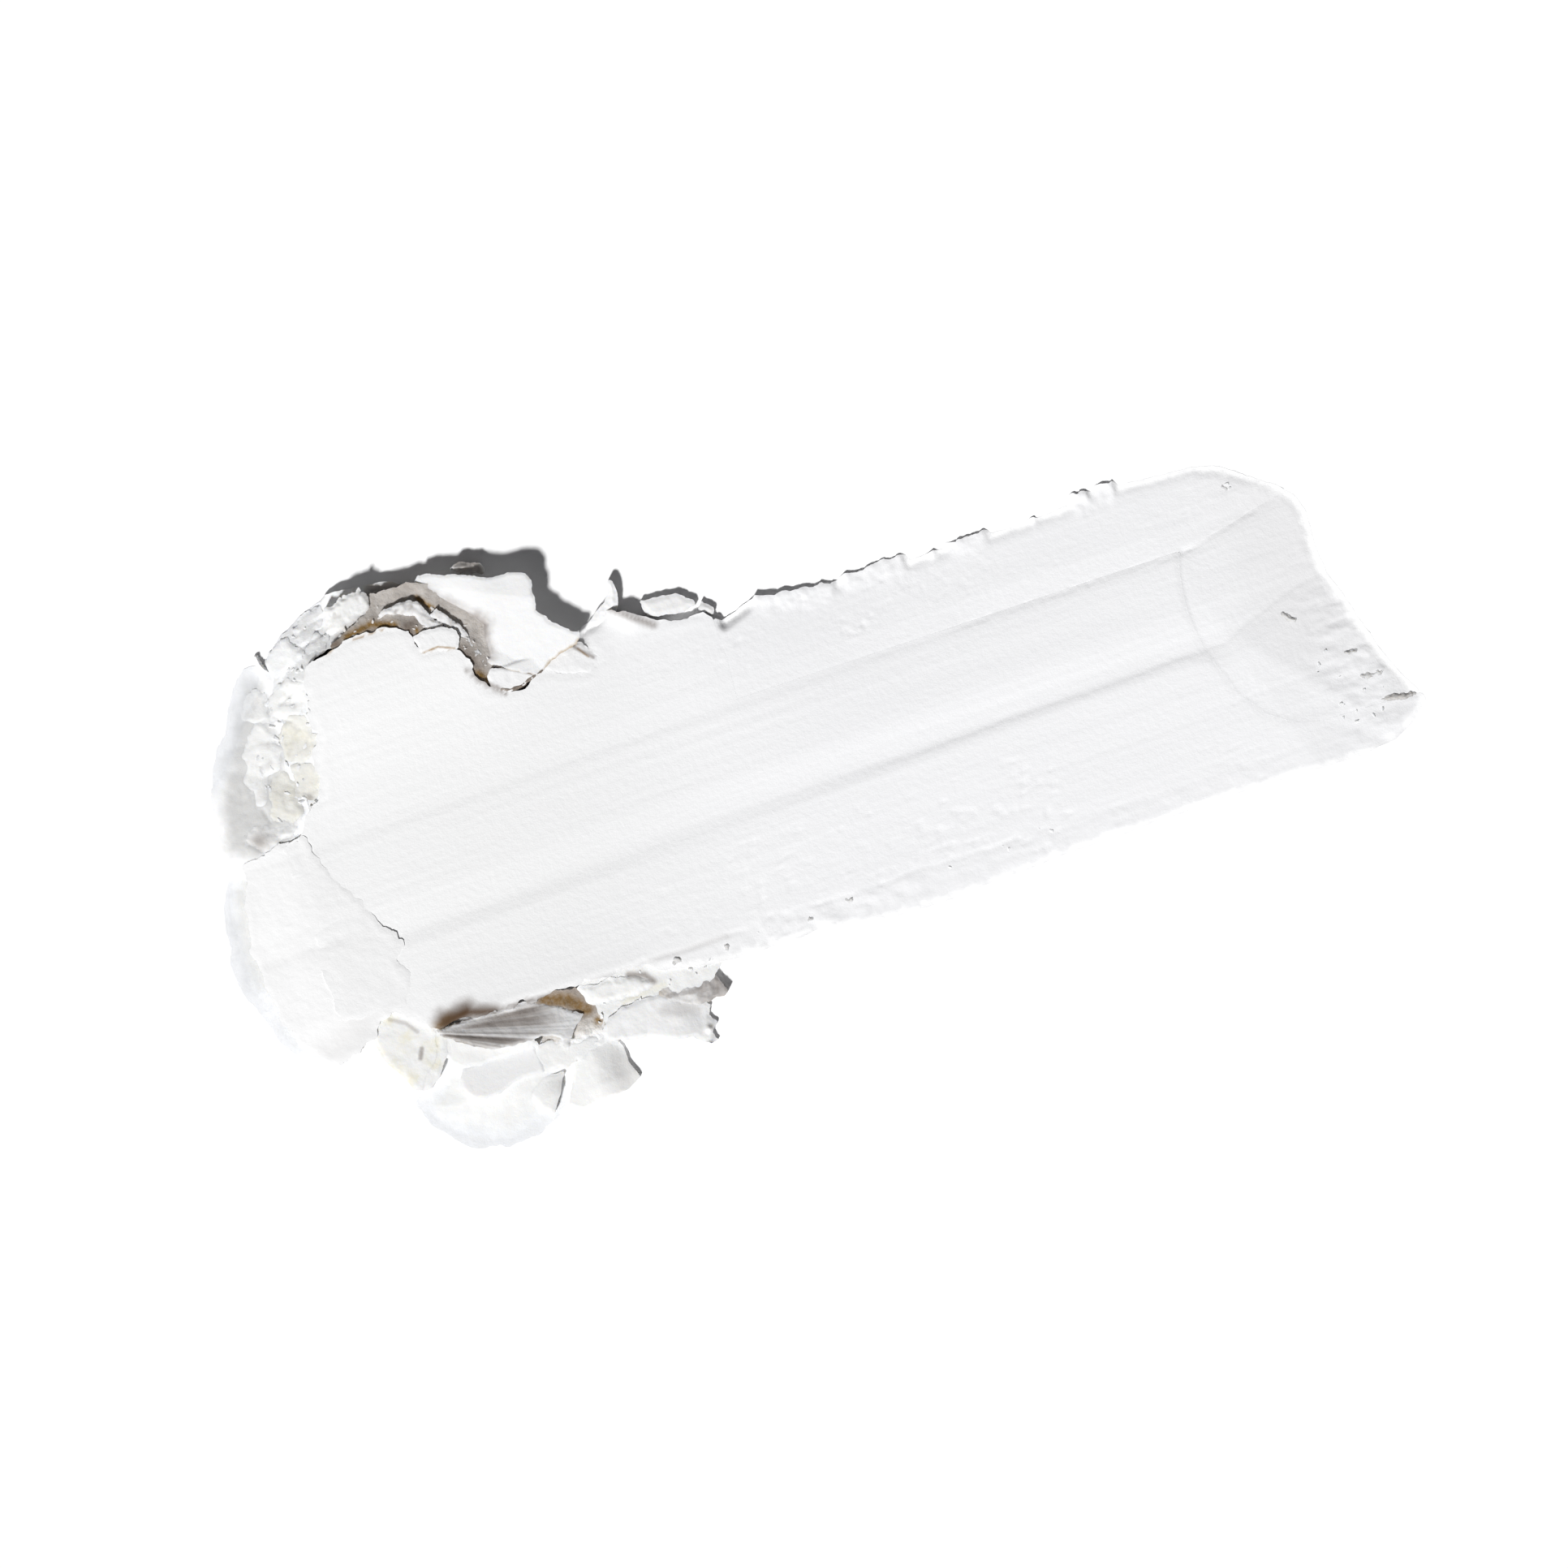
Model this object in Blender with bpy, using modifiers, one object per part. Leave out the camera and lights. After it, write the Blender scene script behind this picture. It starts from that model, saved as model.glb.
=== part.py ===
"""Slab of white gymnastics chalk: a stiff paste drawn out with a blade, then set hard, cracked and flaked.

The blade was set down at the heel (+X), drawn towards -X and lifted there, where the surplus paste piled
up in banks, folded back over the slab and tore into plates and flakes. +Y is the upper edge, +Z is up.
All sizes here are millimetres; plan positions are drawn from a point near the middle of the slab, and the
whole object is centred on its own footprint at the end.
"""

import math

import bmesh
import bpy
from mathutils import Vector

MM = 0.001

# Driving dimensions.
STROKE_LENGTH = 112.0  # outside of the left bank to the tip of the heel
BLADE_WIDTH = 31.0  # across the drawn slab
SLAB_THICKNESS = 1.1  # along the plain middle of the stroke
END_THICKNESS = 2.4  # where the paste piled up in front of the blade
UPPER_LIP = 1.6  # how far the upper edge curls up at the fold end
LOWER_LIP = 0.7  # the same for the lower edge
HEEL_DROP = 0.45  # how far the heel slopes down to its end
FLANGE_DROP = 0.35  # how far the lower margin lies under the slab's face
SCORE_DEPTH = 0.15  # narrow score line, which has cracked through
SCORE_HALF_WIDTH = 0.8
VALLEY_DEPTH = 0.25  # wide valley with one steep side
VALLEY_GENTLE_WIDTH = 2.4
VALLEY_STEEP_WIDTH = 0.9
BANK_HEIGHT = 2.0  # banks at the left end
SKIRT_HEIGHT = 1.1  # low banks above and below the slab
FOLD_THICKNESS = 1.0
FLAKE_THICKNESS = 0.6
CHUNK_HEIGHT = 1.5  # crumbled chunks on the banks
CRUMB_SIZE = 1.5
GAP = 0.3  # crack width, and the space between pieces that rest on each other

# The outlines below are drawn for this stroke and blade. A longer stroke or a wider blade only adds slab
# between these stations, so what lies round the two ends keeps its shape and its clearances.
DRAWN_LENGTH = 112.0
DRAWN_WIDTH = 31.0
LENGTH_STATIONS = (-2.0, 34.0)
WIDTH_STATIONS = (-11.0, 11.0)

# Deck that pieces on the left banks and the slab's hidden end rest on.
FOLD_DECK = max(END_THICKNESS, BANK_HEIGHT) + GAP
BANK_DECK = BANK_HEIGHT + GAP
SKIRT_DECK = SKIRT_HEIGHT + GAP

RING_COUNT = 6  # rings of a lump, pole to pole
EDGE_SHARE = 0.3  # how high up its side a lump is widest

COLOURS = {
    "set_chalk": ((0.86, 0.86, 0.87), 0.85),
    "bank_chalk": ((0.90, 0.90, 0.89), 0.90),
    "flake_chalk": ((0.92, 0.92, 0.92), 0.80),
    "stained_chalk": ((0.88, 0.87, 0.78), 0.90),
}


# ---------------------------------------------------------------- plan and heights


def stretched(value, stations, extra):
    """value after the stretch between the two stations has grown by extra."""
    start, end = stations
    return value + extra * min(max((value - start) / (end - start), 0.0), 1.0)


def plan(x, y):
    return (
        stretched(x, LENGTH_STATIONS, STROKE_LENGTH - DRAWN_LENGTH),
        stretched(y, WIDTH_STATIONS, BLADE_WIDTH - DRAWN_WIDTH),
    )


def ease(value, start, end):
    """Smooth step from 0 at start to 1 at end, either way round."""
    t = min(max((value - start) / (end - start), 0.0), 1.0)
    return t * t * (3 - 2 * t)


def score_y(x):
    """The score line: straight along the stroke, turning up towards the corner of the heel."""
    return 5.2 + 2.4 * ease(x, 38.0, 52.0)


def valley_y(x):
    return -5.9 + 1.7 * ease(x, -30.0, 38.0)


def slab_top(x, y):
    """Height of the slab's face over the surface that it lies on."""
    z = SLAB_THICKNESS + (END_THICKNESS - SLAB_THICKNESS) * ease(x, -8.0, -38.0)
    z += UPPER_LIP * ease(x, -13.0, -30.0) * ease(y, 9.0, 21.0)
    z += LOWER_LIP * ease(x, -18.0, -30.0) * ease(x, -42.5, -38.5) * ease(y, -8.0, -15.0)
    z -= FLANGE_DROP * ease(y, -14.6, -17.6) * ease(x, -22.0, -14.0)
    heel_end = 50.4 + 0.35 * max(0.0, -1.0 - y)
    z -= HEEL_DROP * ease(x, heel_end - 5.0, heel_end)
    z -= SCORE_DEPTH * (1 - ease(abs(y - score_y(x)), 0.0, SCORE_HALF_WIDTH))
    across = y - valley_y(x)
    width = VALLEY_GENTLE_WIDTH if across > 0 else VALLEY_STEEP_WIDTH
    z -= VALLEY_DEPTH * (1 - ease(abs(across), 0.0, width)) * ease(x, 47.0, 40.0)
    return z


# ---------------------------------------------------------------- tools


def material(name):
    made = bpy.data.materials.get(name)
    if made is None:
        (red, green, blue), roughness = COLOURS[name]
        made = bpy.data.materials.new(name)
        made.use_nodes = True
        shader = made.node_tree.nodes["Principled BSDF"]
        shader.inputs["Base Color"].default_value = (red, green, blue, 1.0)
        shader.inputs["Roughness"].default_value = roughness
        shader.inputs["Metallic"].default_value = 0.0
    return made


def helper(obj):
    """A cutter or a blank: kept out of renders and of the nodes."""
    obj.hide_render = True
    obj.display_type = "WIRE"
    CUTTERS.objects.link(obj)
    for collection in list(obj.users_collection):
        if collection != CUTTERS:
            collection.objects.unlink(obj)
    return obj


def keep(obj, name, chalk):
    """Names a finished piece, gives it its chalk and puts it in the object's collection."""
    obj.name = name
    obj.data.name = name
    obj.data.materials.clear()
    obj.data.materials.append(material(chalk))
    PIECES.objects.link(obj)
    for collection in list(obj.users_collection):
        if collection != PIECES:
            collection.objects.unlink(obj)
    obj.parent = ROOT
    return obj


def as_mesh(obj):
    """A mesh object in place of obj, with its modifiers applied and its caps welded."""
    graph = bpy.context.evaluated_depsgraph_get()
    mesh = bpy.data.meshes.new_from_object(obj.evaluated_get(graph))
    work = bmesh.new()
    work.from_mesh(mesh)
    bmesh.ops.remove_doubles(work, verts=work.verts, dist=0.001 * MM)
    work.to_mesh(mesh)
    work.free()
    made = bpy.data.objects.new(obj.name + "_mesh", mesh)
    made.matrix_world = obj.matrix_world
    bpy.context.scene.collection.objects.link(made)
    bpy.data.objects.remove(obj)
    return made


def outline_curve(name, points, closed, half_height):
    """A flat curve through plan points, raised half_height above and below its middle."""
    data = bpy.data.curves.new(name, "CURVE")
    data.dimensions = "2D"
    data.fill_mode = "BOTH" if closed else "NONE"
    data.extrude = half_height * MM
    spline = data.splines.new("POLY")
    spline.points.add(len(points) - 1)
    for point, (x, y) in zip(spline.points, points):
        px, py = plan(x, y)
        point.co = (px * MM, py * MM, 0.0, 1.0)
    spline.use_cyclic_u = closed
    obj = bpy.data.objects.new(name, data)
    bpy.context.scene.collection.objects.link(obj)
    return obj


def boolean(obj, cutter, operation):
    modifier = obj.modifiers.new(operation.lower(), "BOOLEAN")
    modifier.operation = operation
    modifier.object = cutter
    modifier.solver = "EXACT"


def lump(name, chalk, centre, outline, under, over):
    """A closed lump from a UV sphere: one meridian to each outline point, seen from centre.

    under and over give the height of its lower and upper skin at a plan position, as a number or a
    function of x and y. Its sides bulge out to the outline at EDGE_SHARE of its height.
    """
    bpy.ops.mesh.primitive_uv_sphere_add(segments=len(outline), ring_count=RING_COUNT, radius=1.0)
    obj = bpy.context.object
    under_at = under if callable(under) else lambda x, y: under
    over_at = over if callable(over) else lambda x, y: over
    turn = 2 * math.pi / len(outline)
    for vertex in obj.data.vertices:
        east, north, up = vertex.co
        reach = math.hypot(east, north) ** 0.6
        corner = outline[round(math.atan2(north, east) / turn) % len(outline)]
        x = centre[0] + reach * (corner[0] - centre[0])
        y = centre[1] + reach * (corner[1] - centre[1])
        if up < -0.01:
            share = 0.0
        else:
            share = EDGE_SHARE + (1 - EDGE_SHARE) * max(up, 0.0) ** 0.4
        low, high = under_at(x, y), over_at(x, y)
        px, py = plan(x, y)
        vertex.co = (px * MM, py * MM, (low + share * (high - low)) * MM)
    obj.data.shade_smooth()
    return keep(obj, name, chalk)


def tilt(height, x0, y0, slope_x, slope_y):
    """A sloping surface: height at (x0, y0), with a rise per millimetre along X and Y."""
    return lambda x, y: height + slope_x * (x - x0) + slope_y * (y - y0)


def sheet(over, thickness):
    """(under, over) of a sheet of even thickness with that upper face."""
    return (lambda x, y: over(x, y) - thickness), over


# ---------------------------------------------------------------- collections

for old in list(bpy.data.objects):
    bpy.data.objects.remove(old)
PIECES = bpy.data.collections.new("chalk_slab")
CUTTERS = bpy.data.collections.new("cutters")
CUTTERS.hide_render = True
for made_collection in (PIECES, CUTTERS):
    bpy.context.scene.collection.children.link(made_collection)
ROOT = bpy.data.objects.new("chalk_slab_origin", None)
PIECES.objects.link(ROOT)


# ---------------------------------------------------------------- drawn slab, upper strip and heel pad
# One drawn layer, cracked into three. The upper strip broke off along the score line, and the heel pad
# round the mark that the blade left when it was set down.

LOWER_EDGE = [
    (-48.4, -11.4), (-45.5, -11.7), (-43.5, -12.0), (-41.9, -13.6), (-41.0, -14.5), (-34.0, -14.8),
    (-27.5, -15.0), (-20.5, -15.1), (-19.2, -15.8), (-17.0, -16.6), (-14.0, -17.0), (-11.0, -17.3),
    (-5.5, -17.2), (-3.0, -17.0), (-1.0, -17.9), (3.0, -18.2), (8.0, -18.4), (13.0, -18.1),
    (19.0, -17.8), (31.0, -17.5), (42.0, -17.6), (48.0, -17.8), (52.0, -17.4), (54.2, -16.2),
]
HEEL_EDGE = [
    (55.7, -14.8), (54.9, -13.2), (54.0, -11.5), (53.0, -9.0), (52.2, -6.2), (51.5, -3.5), (50.6, -1.0),
    (50.4, 2.0), (50.6, 5.0), (50.0, 6.8), (48.8, 8.2), (46.5, 9.8), (44.5, 11.3), (42.0, 12.1),
]
UPPER_EDGE = [
    (38.0, 12.35), (34.9, 12.6), (34.7, 13.4), (33.1, 13.5), (32.6, 12.9), (30.6, 13.2), (30.2, 12.3),
    (22.4, 12.1), (22.2, 12.6), (18.3, 12.7), (18.0, 12.2), (14.6, 12.1), (14.2, 12.8), (8.5, 12.8),
    (7.5, 12.3), (3.0, 13.0), (0.0, 13.5), (-2.0, 12.8), (-3.6, 12.3), (-5.2, 13.6), (-7.0, 13.9),
    (-9.4, 14.3), (-10.6, 15.3), (-11.8, 16.2), (-13.3, 16.8), (-14.8, 16.3), (-16.2, 15.4),
]
TORN_EDGE = [
    (-15.9, 14.0), (-15.3, 12.6), (-16.6, 11.8), (-19.0, 12.3), (-20.6, 13.2), (-21.8, 12.8), (-24.0, 12.3),
    (-26.0, 13.3), (-27.0, 14.8), (-27.0, 16.0), (-27.4, 17.4), (-28.6, 18.0), (-30.5, 18.2), (-31.1, 19.4),
    (-31.3, 20.7), (-33.0, 21.3), (-36.0, 21.6), (-38.0, 21.2), (-40.4, 20.4), (-41.7, 19.2), (-41.8, 17.4),
    (-42.3, 16.4), (-42.1, 15.4), (-42.1, 13.6), (-43.0, 12.4), (-43.0, 10.5), (-43.6, 8.4), (-45.6, 7.6),
    (-46.4, 5.8), (-48.4, 5.2),
]
SCORE_CRACK = [(-4.4, 16.0), (-4.3, 9.0), (-4.6, 5.2)] + [
    (x, score_y(x)) for x in (10.0, 24.0, 38.0, 41.0, 44.0, 47.0, 50.0, 53.0)
]
BLADE_MARK = [
    (38.6, 5.3), (38.1, 4.0), (37.7, 2.0), (37.5, 0.0), (37.6, -2.0), (37.9, -4.3), (38.6, -6.2),
    (39.6, -9.0), (41.4, -11.5), (43.8, -13.2), (46.0, -13.8), (52.0, -14.0), (58.0, -14.3),
]
BLANK_X = (-50.0, 57.0)
BLANK_Y = (-20.0, 23.0)
BLANK_ROWS = [
    -20.0, -17.6, -16.0, -14.6, -12.5, -10.0, -7.7, -6.8, -5.9, -5.0, -4.1, -2.6, 0.0, 2.5, 4.4, 5.2, 6.0,
    8.0, 10.0, 12.0, 14.0, 16.0, 18.0, 20.0, 23.0,
]
BLANK_COLUMN = 2.7  # length of the blank's cells along the stroke
TOOL_HEIGHT = 20.0  # taller than anything it cuts
SHARP_ANGLE = math.radians(40)


def slab_blank():
    """A block with the slab's face on top, larger in plan than the slab, from a grid drawn downwards."""
    columns = round((BLANK_X[1] - BLANK_X[0]) / BLANK_COLUMN)
    bpy.ops.mesh.primitive_grid_add(x_subdivisions=columns, y_subdivisions=len(BLANK_ROWS) - 1, size=2.0)
    obj = bpy.context.object
    work = bmesh.new()
    work.from_mesh(obj.data)
    for vertex in work.verts:
        x = BLANK_X[0] + (vertex.co.x + 1) / 2 * (BLANK_X[1] - BLANK_X[0])
        y = BLANK_ROWS[round((vertex.co.y + 1) / 2 * (len(BLANK_ROWS) - 1))]
        near_valley = 1 - min(abs(y + 5.0) / 5.0, 1.0)
        y += near_valley * (valley_y(x) + 5.9)
        px, py = plan(x, y)
        vertex.co = Vector((px, py, slab_top(x, y))) * MM
    rim = [edge for edge in work.edges if edge.is_boundary]
    drawn = bmesh.ops.extrude_edge_only(work, edges=rim)["geom"]
    for vertex in (item for item in drawn if isinstance(item, bmesh.types.BMVert)):
        vertex.co.z = -1.0 * MM
    bmesh.ops.holes_fill(work, edges=[edge for edge in work.edges if edge.is_boundary], sides=0)
    bmesh.ops.recalc_face_normals(work, faces=work.faces)
    work.to_mesh(obj.data)
    work.free()
    return obj


def crack_cutter(name, points):
    """A standing ribbon, as wide as a crack."""
    ribbon = outline_curve(name, points, False, TOOL_HEIGHT)
    wall = ribbon.modifiers.new("crack", "SOLIDIFY")
    wall.thickness = GAP * MM
    wall.offset = 0.0
    wall.use_even_offset = True
    return helper(as_mesh(ribbon))


def drawn_layer():
    """The whole layer, cut to its outline and along its cracks, and parted into its three pieces."""
    blank = slab_blank()
    outline = LOWER_EDGE + HEEL_EDGE + UPPER_EDGE + TORN_EDGE
    cutter = outline_curve("slab_outline", outline, True, TOOL_HEIGHT / 2)
    cutter.location.z = TOOL_HEIGHT / 2 * MM
    bpy.context.view_layer.update()
    boolean(blank, helper(as_mesh(cutter)), "INTERSECT")
    boolean(blank, crack_cutter("score_crack", SCORE_CRACK), "DIFFERENCE")
    boolean(blank, crack_cutter("blade_mark", BLADE_MARK), "DIFFERENCE")
    layer = as_mesh(blank)
    bpy.ops.object.select_all(action="DESELECT")
    layer.select_set(True)
    bpy.context.view_layer.objects.active = layer
    bpy.ops.object.mode_set(mode="EDIT")
    bpy.ops.mesh.select_all(action="SELECT")
    bpy.ops.mesh.separate(type="LOOSE")
    bpy.ops.object.mode_set(mode="OBJECT")
    parts = sorted(bpy.context.selected_objects, key=lambda part: len(part.data.vertices))
    slab = parts.pop()
    pad, strip = sorted(parts, key=lambda part: max(vertex.co.y for vertex in part.data.vertices))
    for part, name in ((slab, "drawn_slab"), (pad, "heel_pad"), (strip, "upper_strip")):
        part.data.set_sharp_from_angle(angle=SHARP_ANGLE)
        keep(part, name, "set_chalk")


drawn_layer()


# ---------------------------------------------------------------- banks
# Surplus paste pushed out past the blade. They lie on the surface round the fold end.

lump("left_bank", "bank_chalk", (-52.2, -4.0), [
    (-48.8, -4.0), (-48.8, 1.0), (-48.9, 4.6), (-51.0, 5.7), (-53.2, 5.8), (-54.6, 3.0), (-55.7, 0.0),
    (-56.3, -2.5), (-56.2, -5.0), (-55.4, -8.0), (-54.4, -10.5), (-53.0, -12.5), (-51.3, -14.2),
    (-49.5, -14.8), (-48.8, -13.2), (-48.8, -9.0),
], 0.0, BANK_HEIGHT)

lump("rim_bank", "bank_chalk", (-48.6, 11.5), [
    (-45.8, 11.5), (-44.6, 14.5), (-43.6, 17.0), (-43.3, 19.0), (-44.4, 19.9), (-46.3, 20.0), (-48.4, 17.6),
    (-50.0, 14.5), (-51.2, 11.8), (-52.2, 9.0), (-53.0, 6.9), (-51.0, 6.3), (-49.0, 6.4), (-47.2, 8.3),
], 0.0, BANK_HEIGHT)

lump("upper_bank", "bank_chalk", (-37.6, 23.9), [
    (-30.6, 24.5), (-31.5, 25.3), (-33.5, 25.8), (-35.5, 26.0), (-37.5, 26.1), (-39.5, 25.4), (-41.5, 24.5),
    (-43.3, 23.4), (-44.6, 22.3), (-44.8, 21.2), (-43.2, 20.4), (-41.8, 20.8), (-40.3, 21.5), (-38.2, 21.9),
    (-36.0, 22.1), (-34.0, 21.9), (-32.5, 22.3), (-30.8, 23.5),
], 0.0, SKIRT_HEIGHT)

lump("lower_bank", "bank_chalk", (-36.5, -21.0), [
    (-28.6, -19.8), (-29.0, -18.0), (-30.5, -16.6), (-32.5, -15.9), (-36.0, -15.9), (-39.0, -16.4),
    (-40.6, -17.4), (-41.2, -18.6), (-42.2, -19.6), (-43.4, -20.4), (-44.2, -20.8), (-43.9, -22.6),
    (-42.6, -24.4), (-40.3, -25.8), (-37.5, -26.7), (-34.8, -26.6), (-32.8, -25.8), (-31.0, -24.0),
    (-30.2, -22.4), (-29.2, -21.0),
], 0.0, SKIRT_HEIGHT)


# ---------------------------------------------------------------- fold
# The end of the drawn layer, folded back over itself. Its torn edge stands clear of the slab.


def fold_top(x, y):
    rise = 0.5 * ease(x, -48.0, -42.5) - 0.7 * ease(y, -9.0, -14.5)
    dent = 0.3 * (1 - ease(abs(y + 4.0), 0.0, 1.4)) * ease(x, -43.5, -46.0)
    return FOLD_DECK + FOLD_THICKNESS + rise - dent


lump("fold_lobe", "set_chalk", (-47.8, -4.8), [
    (-41.2, -5.4), (-42.9, -3.4), (-43.3, -2.0), (-44.2, 0.0), (-45.3, 1.6), (-45.7, 2.6), (-46.3, 4.4),
    (-46.6, 5.5), (-48.0, 5.8), (-50.0, 5.5), (-52.3, 4.8), (-53.0, 3.0), (-53.6, 0.0), (-54.0, -3.0),
    (-53.7, -7.0), (-53.3, -10.0), (-52.6, -12.0), (-51.5, -13.9), (-50.0, -14.7), (-48.0, -14.5),
    (-46.3, -13.8), (-45.3, -12.4), (-44.0, -12.1), (-42.3, -12.0), (-41.9, -10.6), (-41.5, -9.0),
    (-41.8, -7.6), (-41.1, -6.5),
], FOLD_DECK, fold_top)


# ---------------------------------------------------------------- rim chunks
# Broken, partly stained pieces along the left rim, on the rim bank.

RIM_CHUNKS = [
    ("bank_chalk", 0.7, (-49.4, 6.9), [
        (-46.9, 6.9), (-47.8, 7.1), (-49.0, 7.3), (-50.3, 7.9), (-51.2, 7.7), (-51.9, 6.8), (-50.3, 6.1),
        (-49.0, 6.2), (-47.5, 6.3)]),
    ("stained_chalk", 1.0, (-47.2, 9.8), [
        (-45.9, 9.6), (-46.0, 11.0), (-46.4, 12.0), (-47.4, 11.9), (-48.1, 10.6), (-48.5, 9.2), (-48.2, 8.0),
        (-47.0, 7.6), (-46.4, 8.2)]),
    ("stained_chalk", 0.7, (-44.6, 10.4), [
        (-43.4, 10.6), (-43.8, 11.9), (-45.1, 12.0), (-45.6, 10.8), (-45.5, 9.4), (-44.8, 8.8), (-43.9, 9.3)]),
    ("bank_chalk", 0.9, (-48.0, 14.0), [
        (-46.2, 13.8), (-46.3, 15.8), (-47.3, 17.0), (-48.9, 15.6), (-49.7, 12.6), (-49.2, 9.9), (-48.8, 10.9),
        (-48.1, 12.4), (-46.8, 12.6)]),
    ("stained_chalk", 0.8, (-44.1, 14.6), [
        (-42.5, 14.2), (-42.7, 15.5), (-43.6, 16.5), (-45.0, 16.3), (-45.7, 15.0), (-45.7, 13.2), (-44.4, 12.5),
        (-43.2, 12.9)]),
    ("bank_chalk", 0.9, (-43.9, 18.2), [
        (-42.2, 17.9), (-42.4, 19.2), (-43.3, 19.8), (-44.6, 19.4), (-45.5, 18.6), (-45.7, 17.4), (-44.4, 16.9),
        (-43.2, 17.0)]),
    ("bank_chalk", 0.5, (-47.0, 18.4), [
        (-46.1, 18.3), (-46.0, 19.3), (-46.6, 20.0), (-47.5, 19.1), (-48.2, 17.9), (-47.2, 17.5), (-46.3, 17.5)]),
]
for number, (chalk, height, middle, corners) in enumerate(RIM_CHUNKS, 1):
    top = tilt(BANK_DECK + CHUNK_HEIGHT * height, *middle, 0.12, -0.05)
    lump(f"rim_chunk_{number}", chalk, middle, corners, BANK_DECK, top)


# ---------------------------------------------------------------- ridge chunks
# The broken ridge along the upper bank, with a thin spike standing at its left end.

lump("spike_flake", "flake_chalk", (-45.7, 21.8), [
    (-45.1, 22.0), (-45.5, 23.4), (-46.0, 23.3), (-46.3, 22.4), (-46.3, 20.7), (-45.5, 20.4), (-45.1, 21.0),
], 0.0, tilt(3.0, -45.7, 21.8, 0.0, 0.3))

RIDGE_CHUNKS = [
    (0.9, 0.05, (-43.0, 22.0), [
        (-41.3, 21.9), (-41.9, 23.1), (-42.8, 23.7), (-44.0, 23.0), (-44.5, 22.1), (-44.5, 21.2), (-43.2, 20.6),
        (-42.1, 21.1)]),
    (1.2, 0.10, (-40.0, 24.2), [
        (-38.4, 24.8), (-38.5, 25.5), (-40.0, 25.0), (-41.3, 24.3), (-41.5, 23.5), (-40.9, 22.4), (-40.1, 22.9),
        (-39.3, 23.9)]),
    (0.8, 0.05, (-39.5, 22.6), [
        (-38.8, 22.6), (-39.0, 23.4), (-39.6, 23.3), (-40.4, 22.3), (-40.4, 21.9), (-39.2, 21.9)]),
    (1.1, 0.24, (-36.4, 24.0), [
        (-33.9, 24.2), (-34.1, 25.5), (-34.6, 26.1), (-35.8, 25.8), (-36.5, 25.7), (-37.8, 25.1), (-38.3, 23.8),
        (-38.1, 22.7), (-37.8, 22.1), (-36.9, 22.1), (-35.6, 22.5), (-34.5, 23.2)]),
]
for number, (height, slope, middle, corners) in enumerate(RIDGE_CHUNKS, 1):
    top = tilt(SKIRT_DECK + CHUNK_HEIGHT * height, *middle, slope, slope)
    lump(f"ridge_chunk_{number}", "bank_chalk", middle, corners, SKIRT_DECK, top)

arch_top = tilt(SKIRT_DECK + CHUNK_HEIGHT, -30.8, 22.7, -0.05, 0.2)
lump("arch_chip", "flake_chalk", (-30.7, 22.7), [
    (-29.4, 22.9), (-30.0, 23.5), (-31.3, 23.6), (-32.5, 23.5), (-33.4, 23.1), (-32.6, 22.7), (-31.5, 22.3),
    (-30.3, 21.4), (-29.5, 20.6), (-28.8, 21.0), (-29.3, 22.0),
], *sheet(arch_top, FLAKE_THICKNESS))


# ---------------------------------------------------------------- torn plate and the chips round it

plate_top = tilt(1.0, -26.6, 17.0, 0.15, 0.19)
lump("torn_plate", "flake_chalk", (-22.8, 19.3), [
    (-19.6, 18.4), (-19.5, 19.6), (-19.2, 21.2), (-19.5, 22.4), (-21.0, 22.9), (-23.0, 23.1), (-25.0, 23.9),
    (-27.0, 25.0), (-28.3, 25.5), (-29.1, 25.3), (-29.7, 24.2), (-29.2, 23.4), (-28.2, 22.4), (-27.0, 20.5),
    (-26.6, 18.5), (-26.2, 16.6), (-24.8, 15.6), (-23.2, 14.7), (-21.4, 13.9), (-20.4, 14.3), (-19.4, 14.9),
    (-17.6, 15.3), (-17.0, 15.8), (-18.0, 16.3), (-19.0, 17.2),
], *sheet(plate_top, FLAKE_THICKNESS))

lump("lip_chip", "set_chalk", (-28.9, 19.1), [
    (-27.4, 18.8), (-27.6, 19.5), (-28.6, 19.8), (-29.9, 20.0), (-30.7, 19.8), (-30.5, 18.8), (-28.7, 18.4),
    (-27.7, 18.1),
], 0.0, END_THICKNESS + 0.55 * UPPER_LIP)

lump("root_chip", "set_chalk", (-23.7, 13.6), [
    (-22.0, 13.4), (-22.9, 14.0), (-25.1, 14.7), (-25.3, 13.7), (-24.2, 12.8), (-22.8, 13.1),
], 0.0, 0.9)

lump("back_chip", "bank_chalk", (-24.2, 24.6), [
    (-22.4, 24.1), (-23.4, 25.1), (-24.8, 25.4), (-26.0, 25.0), (-25.2, 24.5), (-23.3, 23.7),
], 0.0, 1.6)

lump("peak_chip", "set_chalk", (-18.0, 13.6), [
    (-16.4, 13.6), (-16.7, 14.5), (-17.6, 14.8), (-18.8, 14.5), (-20.2, 13.6), (-18.9, 12.8), (-16.8, 12.3),
    (-15.9, 12.8),
], 0.0, tilt(SLAB_THICKNESS + 0.5, -18.0, 13.6, 0.0, 0.15))

lump("upright_chip", "flake_chalk", (-13.5, 17.8), [
    (-12.5, 17.6), (-12.6, 18.2), (-13.2, 18.7), (-14.3, 18.0), (-14.8, 17.1), (-13.4, 17.2),
], 0.0, 2.4)

lump("notch_flake", "flake_chalk", (-7.9, 15.5), [
    (-5.6, 15.5), (-6.5, 16.1), (-8.0, 16.4), (-9.8, 16.3), (-10.2, 15.9), (-9.6, 15.1), (-8.5, 14.9),
    (-6.5, 14.6), (-5.6, 14.7),
], 0.0, 0.9)

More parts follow.
